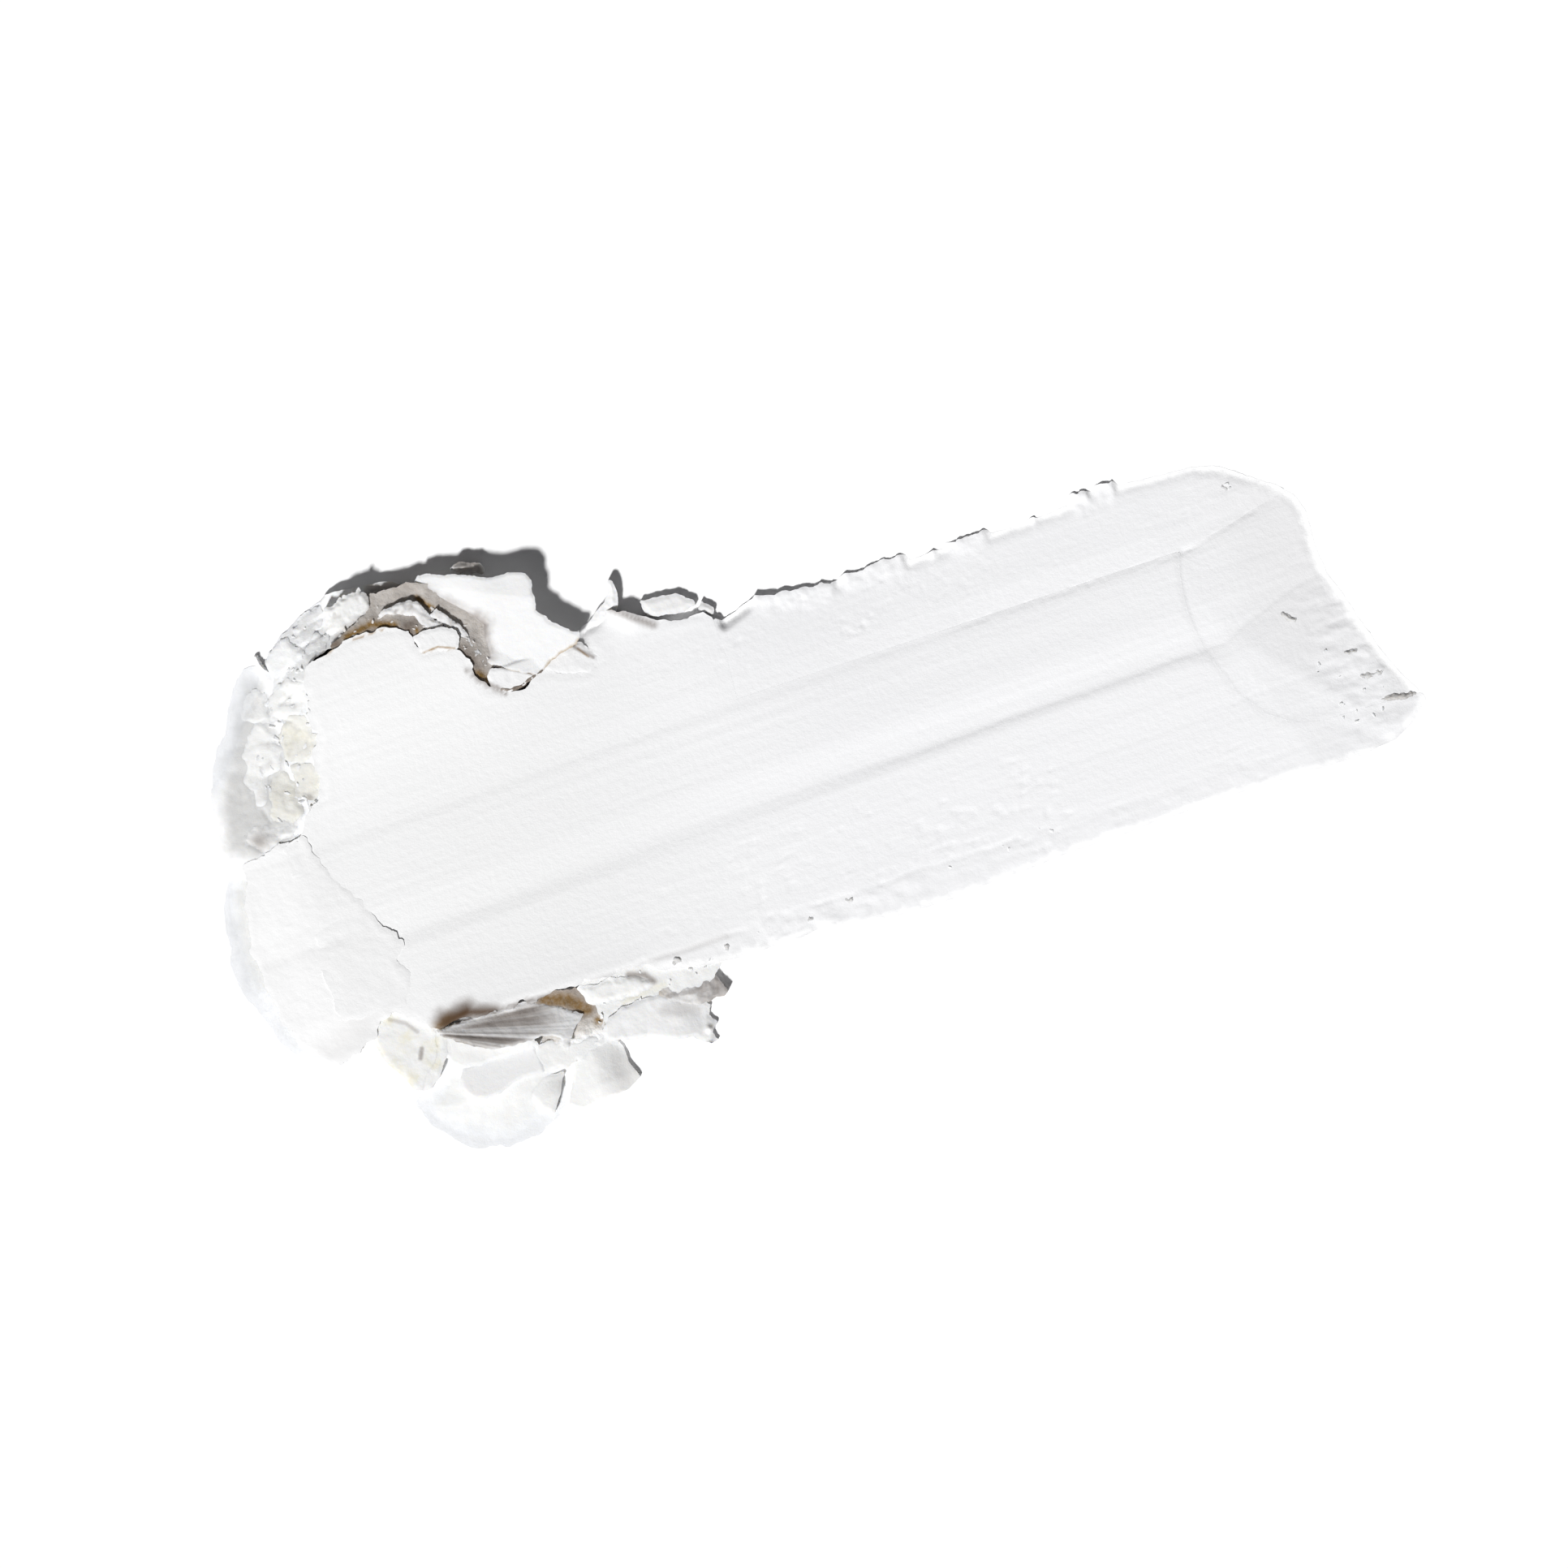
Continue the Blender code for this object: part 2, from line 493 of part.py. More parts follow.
lump("edge_curl", "flake_chalk", (-4.5, 14.2), [
    (-3.9, 13.9), (-4.1, 14.6), (-4.8, 14.8), (-5.2, 14.3), (-4.8, 13.9), (-4.2, 13.5),
], 0.0, 1.6)


# ---------------------------------------------------------------- flakes under the slab's lower edge


def feather_top(x, y):
    return SKIRT_DECK + 3.2 - 1.9 * ease(x, -40.0, -27.5) - 0.25 * (-15.0 - y)


lump("feather_flake", "flake_chalk", (-33.5, -16.7), [
    (-28.6, -17.0), (-30.2, -16.0), (-32.0, -15.3), (-35.0, -15.2), (-38.0, -15.2), (-40.2, -15.1),
    (-38.6, -16.2), (-37.0, -17.1), (-35.0, -18.0), (-33.0, -18.4), (-30.4, -18.9), (-29.8, -19.8),
    (-29.2, -19.8), (-28.2, -18.6), (-27.2, -18.0),
], *sheet(feather_top, FLAKE_THICKNESS))

lump("white_wedge", "flake_chalk", (-39.3, -17.6), [
    (-36.2, -18.2), (-37.8, -17.6), (-39.4, -16.6), (-40.6, -16.0), (-41.0, -16.6), (-41.0, -17.7),
    (-40.2, -18.6), (-38.6, -18.4), (-36.8, -18.5),
], SKIRT_DECK, tilt(SKIRT_DECK + 1.3, -39.3, -17.6, -0.15, 0.1))

lump("petal_flake", "flake_chalk", (-36.2, -20.6), [
    (-32.2, -21.0), (-32.4, -19.7), (-33.6, -19.4), (-36.0, -19.0), (-38.0, -19.0), (-39.3, -19.4),
    (-39.9, -20.1), (-40.0, -20.8), (-39.4, -21.6), (-38.3, -22.4), (-37.0, -22.5), (-35.5, -22.0),
    (-34.2, -21.6), (-32.8, -21.7),
], *sheet(tilt(SKIRT_DECK + 0.9, -36.2, -20.6, -0.05, -0.03), FLAKE_THICKNESS))

lump("fold_strip", "flake_chalk", (-30.2, -20.8), [
    (-28.7, -20.9), (-29.0, -20.4), (-29.7, -20.2), (-30.7, -19.5), (-31.6, -19.4), (-31.7, -20.6),
    (-31.6, -21.7), (-30.0, -22.1), (-28.9, -21.6),
], SKIRT_DECK, SKIRT_DECK + 0.9)

lump("lower_curl", "flake_chalk", (-33.0, -23.2), [
    (-31.4, -23.4), (-30.9, -22.6), (-32.4, -22.2), (-34.0, -22.1), (-35.6, -22.5), (-34.6, -24.0),
    (-33.3, -25.1), (-32.4, -24.9),
], *sheet(tilt(SKIRT_DECK + 1.4, -32.0, -23.2, 0.22, 0.0), FLAKE_THICKNESS))

lump("hollow_chip", "stained_chalk", (-27.3, -19.5), [
    (-26.2, -19.4), (-26.9, -18.6), (-27.5, -18.8), (-28.1, -19.3), (-28.5, -20.0), (-27.4, -20.2),
    (-26.3, -20.0),
], SKIRT_DECK, SKIRT_DECK + 0.7)

lump("yellow_wedge", "stained_chalk", (-43.7, -15.3), [
    (-41.6, -15.4), (-42.4, -14.3), (-43.4, -13.5), (-44.4, -12.9), (-45.2, -13.2), (-45.7, -14.6),
    (-45.1, -17.2), (-44.1, -18.7), (-43.1, -17.0), (-41.7, -16.0),
], 0.0, tilt(3.4, -43.7, -15.3, 0.05, 0.08))

lump("wedge_sliver", "stained_chalk", (-42.6, -18.1), [
    (-41.4, -17.5), (-41.5, -16.5), (-42.5, -17.0), (-43.4, -18.8), (-43.8, -19.7), (-43.3, -19.8),
    (-42.3, -18.9),
], 0.0, 2.3)

lump("second_curl", "flake_chalk", (-26.8, -23.4), [
    (-24.6, -23.6), (-24.7, -22.1), (-25.6, -21.5), (-27.0, -20.8), (-28.2, -21.2), (-28.8, -22.4),
    (-29.2, -23.8), (-28.8, -25.6), (-27.4, -26.4), (-25.8, -25.8), (-24.9, -25.1),
], 0.0, tilt(1.6, -28.0, -23.4, 0.4, 0.0))

lump("shelf_flake", "flake_chalk", (-21.4, -20.4), [
    (-16.1, -21.0), (-17.2, -20.1), (-19.2, -19.8), (-20.8, -19.2), (-21.8, -18.5), (-23.0, -18.2),
    (-25.0, -18.2), (-25.7, -18.8), (-25.8, -19.9), (-24.9, -20.9), (-23.0, -21.3), (-21.5, -21.8),
    (-20.5, -22.7), (-19.0, -23.2), (-17.8, -23.5), (-16.7, -24.2), (-16.3, -22.6),
], 0.0, tilt(1.7, -21.4, -20.4, 0.04, 0.04))

lump("tail_flake", "flake_chalk", (-17.0, -18.9), [
    (-13.6, -19.0), (-14.4, -18.1), (-15.0, -18.2), (-16.6, -18.3), (-18.5, -18.0), (-21.0, -18.0),
    (-20.6, -18.7), (-19.2, -19.4), (-17.1, -19.7), (-15.6, -20.3), (-14.5, -20.4), (-13.2, -20.0),
], 0.0, tilt(1.9, -17.0, -18.9, 0.15, -0.1))

lump("strip_flake", "flake_chalk", (-23.6, -16.7), [
    (-20.3, -17.0), (-21.5, -16.2), (-23.5, -15.8), (-26.7, -15.5), (-26.3, -16.6), (-25.4, -17.3),
    (-23.0, -17.6), (-20.8, -17.5),
], 0.0, tilt(2.0, -23.6, -16.7, 0.0, 0.1))


# ---------------------------------------------------------------- loose crumbs
# Small crumbs lying on the slab, each just clear of its face.

CRUMBS = {
    "edge_crumb": [(-17.4, -15.9, 1.0), (-12.6, -16.1, 0.8), (-4.6, -16.2, 0.9), (-0.6, -15.6, 1.1)],
    "heel_crumb": [
        (52.9, -15.3, 1.1), (52.0, -11.2, 0.9), (48.9, -8.6, 0.7), (45.9, -3.5, 0.9), (44.6, 9.6, 0.8),
    ],
}
CRUMB_CORNERS = 8


def crumb(name, x, y, share):
    """A crumb as wide as share of CRUMB_SIZE, on the highest slab under it."""
    radius = share * CRUMB_SIZE / 2
    corners = []
    for number in range(CRUMB_CORNERS):
        angle = 2 * math.pi * number / CRUMB_CORNERS
        reach = radius * (0.85 + 0.15 * math.cos(3 * angle + x))
        corners.append((x + reach * math.cos(angle), y + 0.8 * reach * math.sin(angle)))
    rest = max(slab_top(*corner) for corner in corners) + GAP
    lump(name, "bank_chalk", (x, y), corners, rest, rest + 0.9 * radius)


for family, places in CRUMBS.items():
    for number, place in enumerate(places, 1):
        crumb(f"{family}_{number}", *place)


# ---------------------------------------------------------------- origin
# Centre of the footprint, on the surface that the slab lies on.

bpy.context.view_layer.update()
corners_found = [
    piece.matrix_world @ Vector(corner) for piece in PIECES.objects if piece.type == "MESH"
    for corner in piece.bound_box
]
for axis in (0, 1):
    values = [corner[axis] for corner in corners_found]
    ROOT.location[axis] = -(min(values) + max(values)) / 2
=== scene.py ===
"""Looks of a slab of white gymnastics chalk: a stiff paste drawn out with a blade, then dried and cracked.

Lengths in this script are millimetres in the frame's own axes, turned to metres as each mesh is made.
"""

import math

import bmesh
import bpy
import numpy as np
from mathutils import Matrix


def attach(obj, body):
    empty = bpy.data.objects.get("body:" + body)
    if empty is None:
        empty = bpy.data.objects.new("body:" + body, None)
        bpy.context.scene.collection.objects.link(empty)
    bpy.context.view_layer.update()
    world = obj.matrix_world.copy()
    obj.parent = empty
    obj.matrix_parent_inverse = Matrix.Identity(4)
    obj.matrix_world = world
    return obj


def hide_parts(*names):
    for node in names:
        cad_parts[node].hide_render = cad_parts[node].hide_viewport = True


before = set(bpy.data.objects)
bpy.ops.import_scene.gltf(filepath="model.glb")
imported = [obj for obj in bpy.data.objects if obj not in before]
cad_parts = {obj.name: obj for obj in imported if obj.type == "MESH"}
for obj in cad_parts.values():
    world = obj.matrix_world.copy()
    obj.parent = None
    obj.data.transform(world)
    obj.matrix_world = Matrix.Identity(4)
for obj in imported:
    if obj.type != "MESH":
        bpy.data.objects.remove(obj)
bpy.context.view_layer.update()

MM = 0.001


# ---------------------------------------------------------------- studio
# A white board, seen from straight above through a long lens. One hard lamp stands low on the left and a
# weak, even light comes from all round, so that what is lit is nearly white and what is shaded is dark.

VIEW_WIDTH = 144.9
VIEW_CENTRE = (-2.62, -3.26)
VIEW_HEIGHT = 700.0
VIEW_TURN = -18.49  # degrees, between the stroke and the level
LAMP_HEADING = 225.0  # degrees from +X, seen from above
LAMP_ELEVATION = 50.0
LAMP_SPREAD = 7.0
LAMP_POWER = 4.05
SKY_POWER = 0.085
BOARD_SIZE = 4000.0
BOARD_GRAIN = 900.0  # lumps of the rolled paint in a metre


def linear(colour, alpha=1.0):
    """Linear light of an sRGB hex colour."""
    parts = [int(colour[i:i + 2], 16) / 255 for i in (1, 3, 5)]
    return [part / 12.92 if part <= 0.04045 else ((part + 0.055) / 1.055) ** 2.4 for part in parts] + [alpha]


def node(tree, kind, settings=None, links=None):
    """Adds a node to tree. settings holds its properties and input values, links its inputs' sources."""
    made = tree.nodes.new(kind)
    for key, value in (settings or {}).items():
        if isinstance(key, str) and hasattr(made, key):
            setattr(made, key, value)
        else:
            made.inputs[key].default_value = value
    for key, source in (links or {}).items():
        tree.links.new(source, made.inputs[key])
    return made


def new_material(name):
    """An empty node material, and its tree."""
    made = bpy.data.materials.new(name)
    made.use_nodes = True
    made.node_tree.nodes.clear()
    return made, made.node_tree


def white_board_paint():
    """Matt white paint on a board: rolled, so it is flat and even, with hardly any texture."""
    made, tree = new_material("matt_white_board_paint")
    place = node(tree, "ShaderNodeTexCoord")
    grain = node(tree, "ShaderNodeTexNoise", {"Scale": BOARD_GRAIN, "Detail": 2.0},
                 {"Vector": place.outputs["Object"]})
    tone = node(tree, "ShaderNodeMix", {"data_type": "RGBA", 6: linear("#fcfcfc"), 7: linear("#fefefe")},
                {0: grain.outputs["Fac"]})
    shader = node(tree, "ShaderNodeBsdfPrincipled", {"Roughness": 1.0, "Specular IOR Level": 0.0},
                  {"Base Color": tone.outputs[2]})
    node(tree, "ShaderNodeOutputMaterial", links={"Surface": shader.outputs[0]})
    return made


camera_data = bpy.data.cameras.new("camera")
camera_data.lens = camera_data.sensor_width * VIEW_HEIGHT / VIEW_WIDTH
camera = bpy.data.objects.new("camera", camera_data)
camera.location = (VIEW_CENTRE[0] * MM, VIEW_CENTRE[1] * MM, VIEW_HEIGHT * MM)
camera.rotation_euler = (0.0, 0.0, math.radians(VIEW_TURN))
bpy.context.scene.collection.objects.link(camera)
bpy.context.scene.camera = camera

lamp_data = bpy.data.lights.new("key_lamp", "SUN")
lamp_data.energy = LAMP_POWER
lamp_data.angle = math.radians(LAMP_SPREAD)
lamp = bpy.data.objects.new("key_lamp", lamp_data)
lamp.rotation_euler = (0.0, math.radians(90.0 - LAMP_ELEVATION), math.radians(LAMP_HEADING))
bpy.context.scene.collection.objects.link(lamp)

sky = bpy.data.worlds.new("even_light")
sky.use_nodes = True
sky.node_tree.nodes["Background"].inputs["Color"].default_value = linear("#fafaff")
sky.node_tree.nodes["Background"].inputs["Strength"].default_value = SKY_POWER
bpy.context.scene.world = sky
bpy.context.scene.view_settings.view_transform = "Standard"

board_mesh = bpy.data.meshes.new("board")
half = BOARD_SIZE * MM / 2
board_mesh.from_pydata([(-half, -half, 0), (half, -half, 0), (half, half, 0), (-half, half, 0)], [],
                       [(0, 1, 2, 3)])
board_mesh.materials.append(white_board_paint())
board = bpy.data.objects.new("board", board_mesh)
bpy.context.scene.collection.objects.link(board)


# ---------------------------------------------------------------- drawn layer
# The stroke: magnesium carbonate paste pressed flat by a blade that ran from the heel to the left, and
# cracked into slab, strip and pad as it dried. Each piece is cast between its outline in the frame and one
# shared face, so the cracks between them close to hairlines.

SLAB_THICKNESS = 1.1
END_THICKNESS = 2.4
CRACK_WIDTH = 0.3  # between the solids of the frame
OVERLAP = 0.1  # of the finished pieces of the layer, in place of that crack
SLAB_CELL = 0.175  # size of a cell of the slab's mesh across the stroke
SLAB_OBLONG = 1.75  # its length along the stroke, as a multiple of that
PAD_CELL = 0.16
LEAST_WALL = 0.012  # between the two skins of a piece, where it thins out
LEAST_FACE = 0.015  # height of the layer's face where it thins out
LATTICE = 256  # rows of a noise's table of random numbers, after which it repeats
SHARP_ANGLE = 50.0  # degrees, past which an edge between two faces isn't smoothed over
DUST_SIZE = 0.12
FILM_AND_PAINTED_LIGHT_WHITE = "#fdfdfd"  # the board, as it shows through thin paste; also painted light on the back of the ridge


def ease(value, start, end):
    """Smooth step from 0 at start to 1 at end, either way round."""
    t = np.clip((value - start) / (end - start), 0.0, 1.0)
    return t * t * (3 - 2 * t)


def bump(value, width):
    """1 at zero, falling to 0 over about twice width."""
    return np.exp(-((value / width) ** 2))


def noise(x, y, size, seed, octaves=4, stretch=1.0):
    """Smooth random field from -1 to 1. Its largest lumps are size across, and stretch times that along X."""
    total, weight = np.zeros(np.shape(x)), 0.0
    for octave in range(octaves):
        table = np.random.default_rng(seed * 31 + octave).uniform(-1, 1, (LATTICE, LATTICE))
        scale, share = 2.0 ** octave / size, 0.55 ** octave
        # every octave is turned and shifted, so that its square grid doesn't show; streaks stay level
        turn = 0.0 if stretch > 1.0 else 0.6 + 1.1 * octave
        u = (math.cos(turn) * x - math.sin(turn) * y) * scale / stretch + 37.3
        v = (math.sin(turn) * x + math.cos(turn) * y) * scale + 71.7
        i, j = np.floor(u).astype(int), np.floor(v).astype(int)
        fu, fv = ease(u - i, 0.0, 1.0), ease(v - j, 0.0, 1.0)
        i, j, k, l = i % LATTICE, j % LATTICE, (i + 1) % LATTICE, (j + 1) % LATTICE
        near = table[i, j] * (1 - fv) + table[i, l] * fv
        far = table[k, j] * (1 - fv) + table[k, l] * fv
        total += (near * (1 - fu) + far * fu) * share
        weight += share
    return 1.6 * total / weight


def outline_of(name):
    """Corners, anticlockwise, of the silhouette of a node of the frame, seen from above."""
    work = bmesh.new()
    work.from_mesh(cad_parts[name].data)
    bmesh.ops.remove_doubles(work, verts=work.verts, dist=1e-7)
    work.normal_update()
    follows = {}
    for face in work.faces:
        if face.normal.z > 0.01:
            for loop in face.loops:
                other = loop.link_loop_radial_next.face
                if other.normal.z <= 0.01:
                    follows[loop.vert.index] = loop.link_loop_next.vert.index
    work.verts.ensure_lookup_table()
    loops = []
    while follows:
        start, step = follows.popitem()
        chain = [start]
        while step in follows:
            chain.append(step)
            step = follows.pop(step)
        loops.append(chain)
    longest = max(loops, key=len)
    corners = np.array([work.verts[i].co[:2] for i in longest]) / MM
    work.free()
    return corners


def distance_in(x, y, outline):
    """How far a place lies inside the outline, negative outside it."""
    nearest = np.full(np.shape(x), np.inf)
    inside = np.zeros(np.shape(x), bool)
    for (ax, ay), (bx, by) in zip(outline, np.roll(outline, -1, axis=0)):
        ex, ey = bx - ax, by - ay
        if ex * ex + ey * ey < 1e-9:
            continue
        t = np.clip(((x - ax) * ex + (y - ay) * ey) / (ex * ex + ey * ey), 0.0, 1.0)
        nearest = np.minimum(nearest, (x - ax - t * ex) ** 2 + (y - ay - t * ey) ** 2)
        if ay != by:
            inside ^= ((ay > y) != (by > y)) & (x < ex * (y - ay) / ey + ax)
    return np.where(inside, 1.0, -1.0) * np.sqrt(nearest)


def whole(mask):
    """The largest patch of a mask of cells, with its pinholes and corner-to-corner touches filled."""
    for _ in range(3):
        pad = np.pad(mask, 1)
        lone = pad[:-2, 1:-1] & pad[2:, 1:-1] & pad[1:-1, :-2] & pad[1:-1, 2:]
        mask = mask | lone
        crossed = mask[:-1, :-1] & mask[1:, 1:] & ~mask[1:, :-1] & ~mask[:-1, 1:]
        mask[1:, :-1] |= crossed
        crossed = mask[1:, :-1] & mask[:-1, 1:] & ~mask[:-1, :-1] & ~mask[1:, 1:]
        mask[:-1, :-1] |= crossed
    best = np.zeros_like(mask)
    left = mask.copy()
    while left.sum() > best.sum():
        patch = np.zeros_like(mask)
        patch[np.unravel_index(np.argmax(left), left.shape)] = True
        size = 0
        while patch.sum() > size:
            size = patch.sum()
            for _ in range(12):
                pad = np.pad(patch, 1)
                patch = (patch | pad[:-2, 1:-1] | pad[2:, 1:-1] | pad[1:-1, :-2] | pad[1:-1, 2:]) & left
        left &= ~patch
        if size > best.sum():
            best = patch
    return best


def cast(name, rim, box, cell, top, under=None, stain=None, soak_and_painted_shade=None, film_and_painted_light=None, oblong=1.0):
    """A closed piece of paste, from a grid of cells inside its rim, oblong times as long as they are wide.

    rim(x, y) is the distance in from its torn edge, box the corners of the field to search, top(x, y, d)
    and under(x, y, d) the heights of its two skins. From 0 to 1, stain(x, y, d) is how yellow it is,
    soak(x, y, d) how brown, from the binder and as painted shade, and film(x, y, d) how white: where it
    thins so that the board shows through, and as painted light.
    """
    (west, south), (east, north) = box
    x, y = np.meshgrid(np.arange(west, east, cell * oblong), np.arange(south, north, cell), indexing="ij")
    # the cells whose four corners all lie inside the rim
    inner = rim(x, y) > 0
    cells = whole(inner[:-1, :-1] & inner[1:, :-1] & inner[:-1, 1:] & inner[1:, 1:])
    around = np.pad(cells, 1).astype(int)
    touching = around[:-1, :-1] + around[1:, :-1] + around[:-1, 1:] + around[1:, 1:]
    used, border = touching > 0, (touching > 0) & (touching < 4)
    # the corners on the border, drawn out to the rim in three steps down its slope
    bx, by = x[border], y[border]
    probe = cell / 4
    for _ in range(3):
        d = rim(bx, by)
        gx, gy = (rim(bx + probe, by) - d) / probe, (rim(bx, by + probe) - d) / probe
        slope = np.maximum(gx * gx + gy * gy, 0.3)
        shift_x, shift_y = -d * gx / slope, -d * gy / slope
        reach = np.maximum(np.hypot(shift_x, shift_y) / (0.9 * cell), 1.0)
        bx, by = bx + shift_x / reach, by + shift_y / reach
    x[border], y[border] = bx, by
    # the two skins, one above the other, and the wall that joins them round the border
    number = np.full(x.shape, -1)
    count = int(used.sum())
    number[used] = np.arange(count)
    px, py = x[used], y[used]
    d = np.where(border[used], 0.0, np.maximum(rim(px, py), 0.0))
    high = top(px, py, d)
    low = under(px, py, d) if under else np.zeros(count)
    low = np.minimum(low, high - LEAST_WALL)
    a, b = number[:-1, :-1][cells], number[1:, :-1][cells]
    c, e = number[1:, 1:][cells], number[:-1, 1:][cells]
    faces = np.stack([a, b, c, e], axis=1).tolist()
    beside = np.pad(cells, 1)
    walls = []
    for gone, first, last in ((beside[1:-1, :-2], a, b), (beside[2:, 1:-1], b, c),
                              (beside[1:-1, 2:], c, e), (beside[:-2, 1:-1], e, a)):
        open_side = ~gone[cells]
        walls += np.stack([first[open_side], last[open_side]], axis=1).tolist()
    points = np.concatenate([np.stack([px, py, high], 1), np.stack([px, py, low], 1)])
    faces += (np.stack([e, c, b, a], axis=1) + count).tolist()
    faces += [[last, first, first + count, last + count] for first, last in walls]
    mesh = bpy.data.meshes.new(name)
    mesh.from_pydata((points * MM).tolist(), [], faces)
    for attribute, amount in (("stain", stain), ("soak_and_painted_shade", soak_and_painted_shade), ("film_and_painted_light", film_and_painted_light)):
        values = np.zeros(len(points))
        if amount:
            values[:count] = amount(px, py, d)
            values[count:] = values[:count]
        mesh.attributes.new(attribute, "FLOAT", "POINT").data.foreach_set("value", values)
    mesh.shade_smooth()
    mesh.set_sharp_from_angle(angle=math.radians(SHARP_ANGLE))
    made = bpy.data.objects.new(name, mesh)
    bpy.context.scene.collection.objects.link(made)
    return made


def chalk(name, colour, stain_colour, grain, relief, scatter=0.25, soak_and_painted_shade_colour="#5a4430", left_colour=None):
    """Dried magnesium carbonate paste: soft white, quite matt, with a fine powdery tooth.

    grain is the size of its tooth in millimetres and relief its depth. Its real powder is far finer, so the
    tooth is drawn as coarse as it needs to be to show. Light goes a little way into it where scatter is above
    nought. Where the binder has gathered it is stain_colour. soak_and_painted_shade_colour is the brown of
    binder gone into it, and also painted shade in crevices, hollows and faces turned from the lamp. The
    board's white shows where it thins out, and is also painted light on the back of the ridge. The left end
    of the object can have a colour of its own. The colours are sRGB.
    """
    made, tree = new_material(name)
    place = node(tree, "ShaderNodeTexCoord").outputs["Object"]
    tooth = node(tree, "ShaderNodeTexNoise", {"Scale": 1 / (grain * MM), "Detail": 4.0, "Roughness": 0.6},
                 {"Vector": place})
    dust = node(tree, "ShaderNodeTexNoise", {"Scale": 1 / (DUST_SIZE * MM), "Detail": 2.0}, {"Vector": place})
    along = node(tree, "ShaderNodeSeparateXYZ", links={0: place})
    share = node(tree, "ShaderNodeMapRange", {"From Min": -30.0 * MM, "From Max": 2.0 * MM},
                 {0: along.outputs["X"]})
    body = node(tree, "ShaderNodeMix", {
        "data_type": "RGBA", 6: linear(left_colour or colour), 7: linear(colour),
    }, {0: share.outputs[0]})
    stain = node(tree, "ShaderNodeAttribute", {"attribute_name": "stain"})
    broken = node(tree, "ShaderNodeMath", {"operation": "MULTIPLY_ADD", 1: 1.2, 2: -0.6},
                  {0: tooth.outputs["Fac"]})
    amount = node(tree, "ShaderNodeMath", {"operation": "MULTIPLY_ADD", 1: 1.0, "use_clamp": True},
                  {0: stain.outputs["Fac"], 2: broken.outputs[0]})
    gate = node(tree, "ShaderNodeMath", {"operation": "MULTIPLY", "use_clamp": True},
                {0: amount.outputs[0], 1: stain.outputs["Fac"]})
    soak_and_painted_shade = node(tree, "ShaderNodeAttribute", {"attribute_name": "soak_and_painted_shade"})
    film_and_painted_light = node(tree, "ShaderNodeAttribute", {"attribute_name": "film_and_painted_light"})
    # the stain, the brown and the board's white go over the body in turn; the brown is partly painted shade
    # and the white partly painted light
    tone = body
    for part, over in ((gate.outputs[0], stain_colour), (soak_and_painted_shade.outputs["Fac"], soak_and_painted_shade_colour),
                       (film_and_painted_light.outputs["Fac"], FILM_AND_PAINTED_LIGHT_WHITE)):
        tone = node(tree, "ShaderNodeMix", {"data_type": "RGBA", 7: linear(over)},
                    {0: part, 6: tone.outputs[2]})
    height = node(tree, "ShaderNodeMath", {"operation": "MULTIPLY_ADD", 1: 0.35},
                  {0: dust.outputs["Fac"], 2: tooth.outputs["Fac"]})
    tooth_relief = node(tree, "ShaderNodeBump", {"Strength": 1.0, "Distance": relief * MM},
                        {"Height": height.outputs[0]})
    shader = node(tree, "ShaderNodeBsdfPrincipled", {
        "Roughness": 0.9, "IOR": 1.5, "Specular IOR Level": 0.2, "Diffuse Roughness": 0.35,
        "Subsurface Weight": scatter, "Subsurface Radius": (1.0, 0.85, 0.65), "Subsurface Scale": 0.7 * MM,
    }, {"Base Color": tone.outputs[2], "Normal": tooth_relief.outputs[0]})
    node(tree, "ShaderNodeOutputMaterial", links={"Surface": shader.outputs[0]})
    return made


def finish_piece(piece, material, slot, *replaced):
    """Gives a piece its chalk and its place in the frame."""
    piece.data.materials.clear()
    piece.data.materials.append(material)
    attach(piece, "root")
    if replaced:
        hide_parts(*replaced)


# pressed dense by the blade: the most even white of them, and light doesn't go into it
set_chalk = chalk("pressed_dry_chalk_paste", "#eeeeef", "#a58450", grain=0.55, relief=0.05, scatter=0.0,
                  left_colour="#efefef")


def from_line(x, y, line):
    """Distance to a line of points."""
    nearest = np.full(np.shape(x), np.inf)
    for (ax, ay), (bx, by) in zip(line, line[1:]):
        ex, ey = bx - ax, by - ay
        t = np.clip(((x - ax) * ex + (y - ay) * ey) / max(ex * ex + ey * ey, 1e-9), 0.0, 1.0)
        nearest = np.minimum(nearest, np.hypot(x - ax - t * ex, y - ay - t * ey))
    return nearest


def brush(x, y, line, reach, core=0.0):
    """A brushed line: 1 within core of a line of points, fading to 0 at reach from it."""
    return ease(from_line(x, y, line), reach, core)


def worn(d, depth, reach):
    """How far the rim of a piece is worn down: depth at its edge, and nothing from reach inward."""
    return depth * (1 - ease(d, 0.0, reach))


def score_y(x):
    """The score line: straight along the stroke, turning up towards the corner of the heel."""
    return 5.5 + 2.4 * ease(x, 38.3, 52.3) - 0.5 * ease(x, 0.0, -44.0)


def valley_y(x):
    """The bottom of the wide valley below the middle of the stroke."""
    return -5.1 + 1.9 * ease(x, -46.0, 40.0) + 3.2 * ease(x, 38.0, 50.0)


# where the blade was set down, and the stretches of the upper edge that curl up
BLADE_ARC = [(38.9, 5.6), (38.4, 4.3), (38.0, 2.3), (37.8, 0.3), (37.9, -1.7), (38.2, -4.0), (38.9, -5.9),
             (39.9, -8.7), (41.7, -11.2), (44.1, -12.9), (46.3, -13.5), (52.3, -13.7), (58.3, -14.0)]
EDGE_LIPS = [(-0.3, 7.8), (8.3, 14.5), (16.6, 17.6), (18.8, 22.5), (26.6, 27.3), (30.8, 32.6), (33.3, 35.1)]


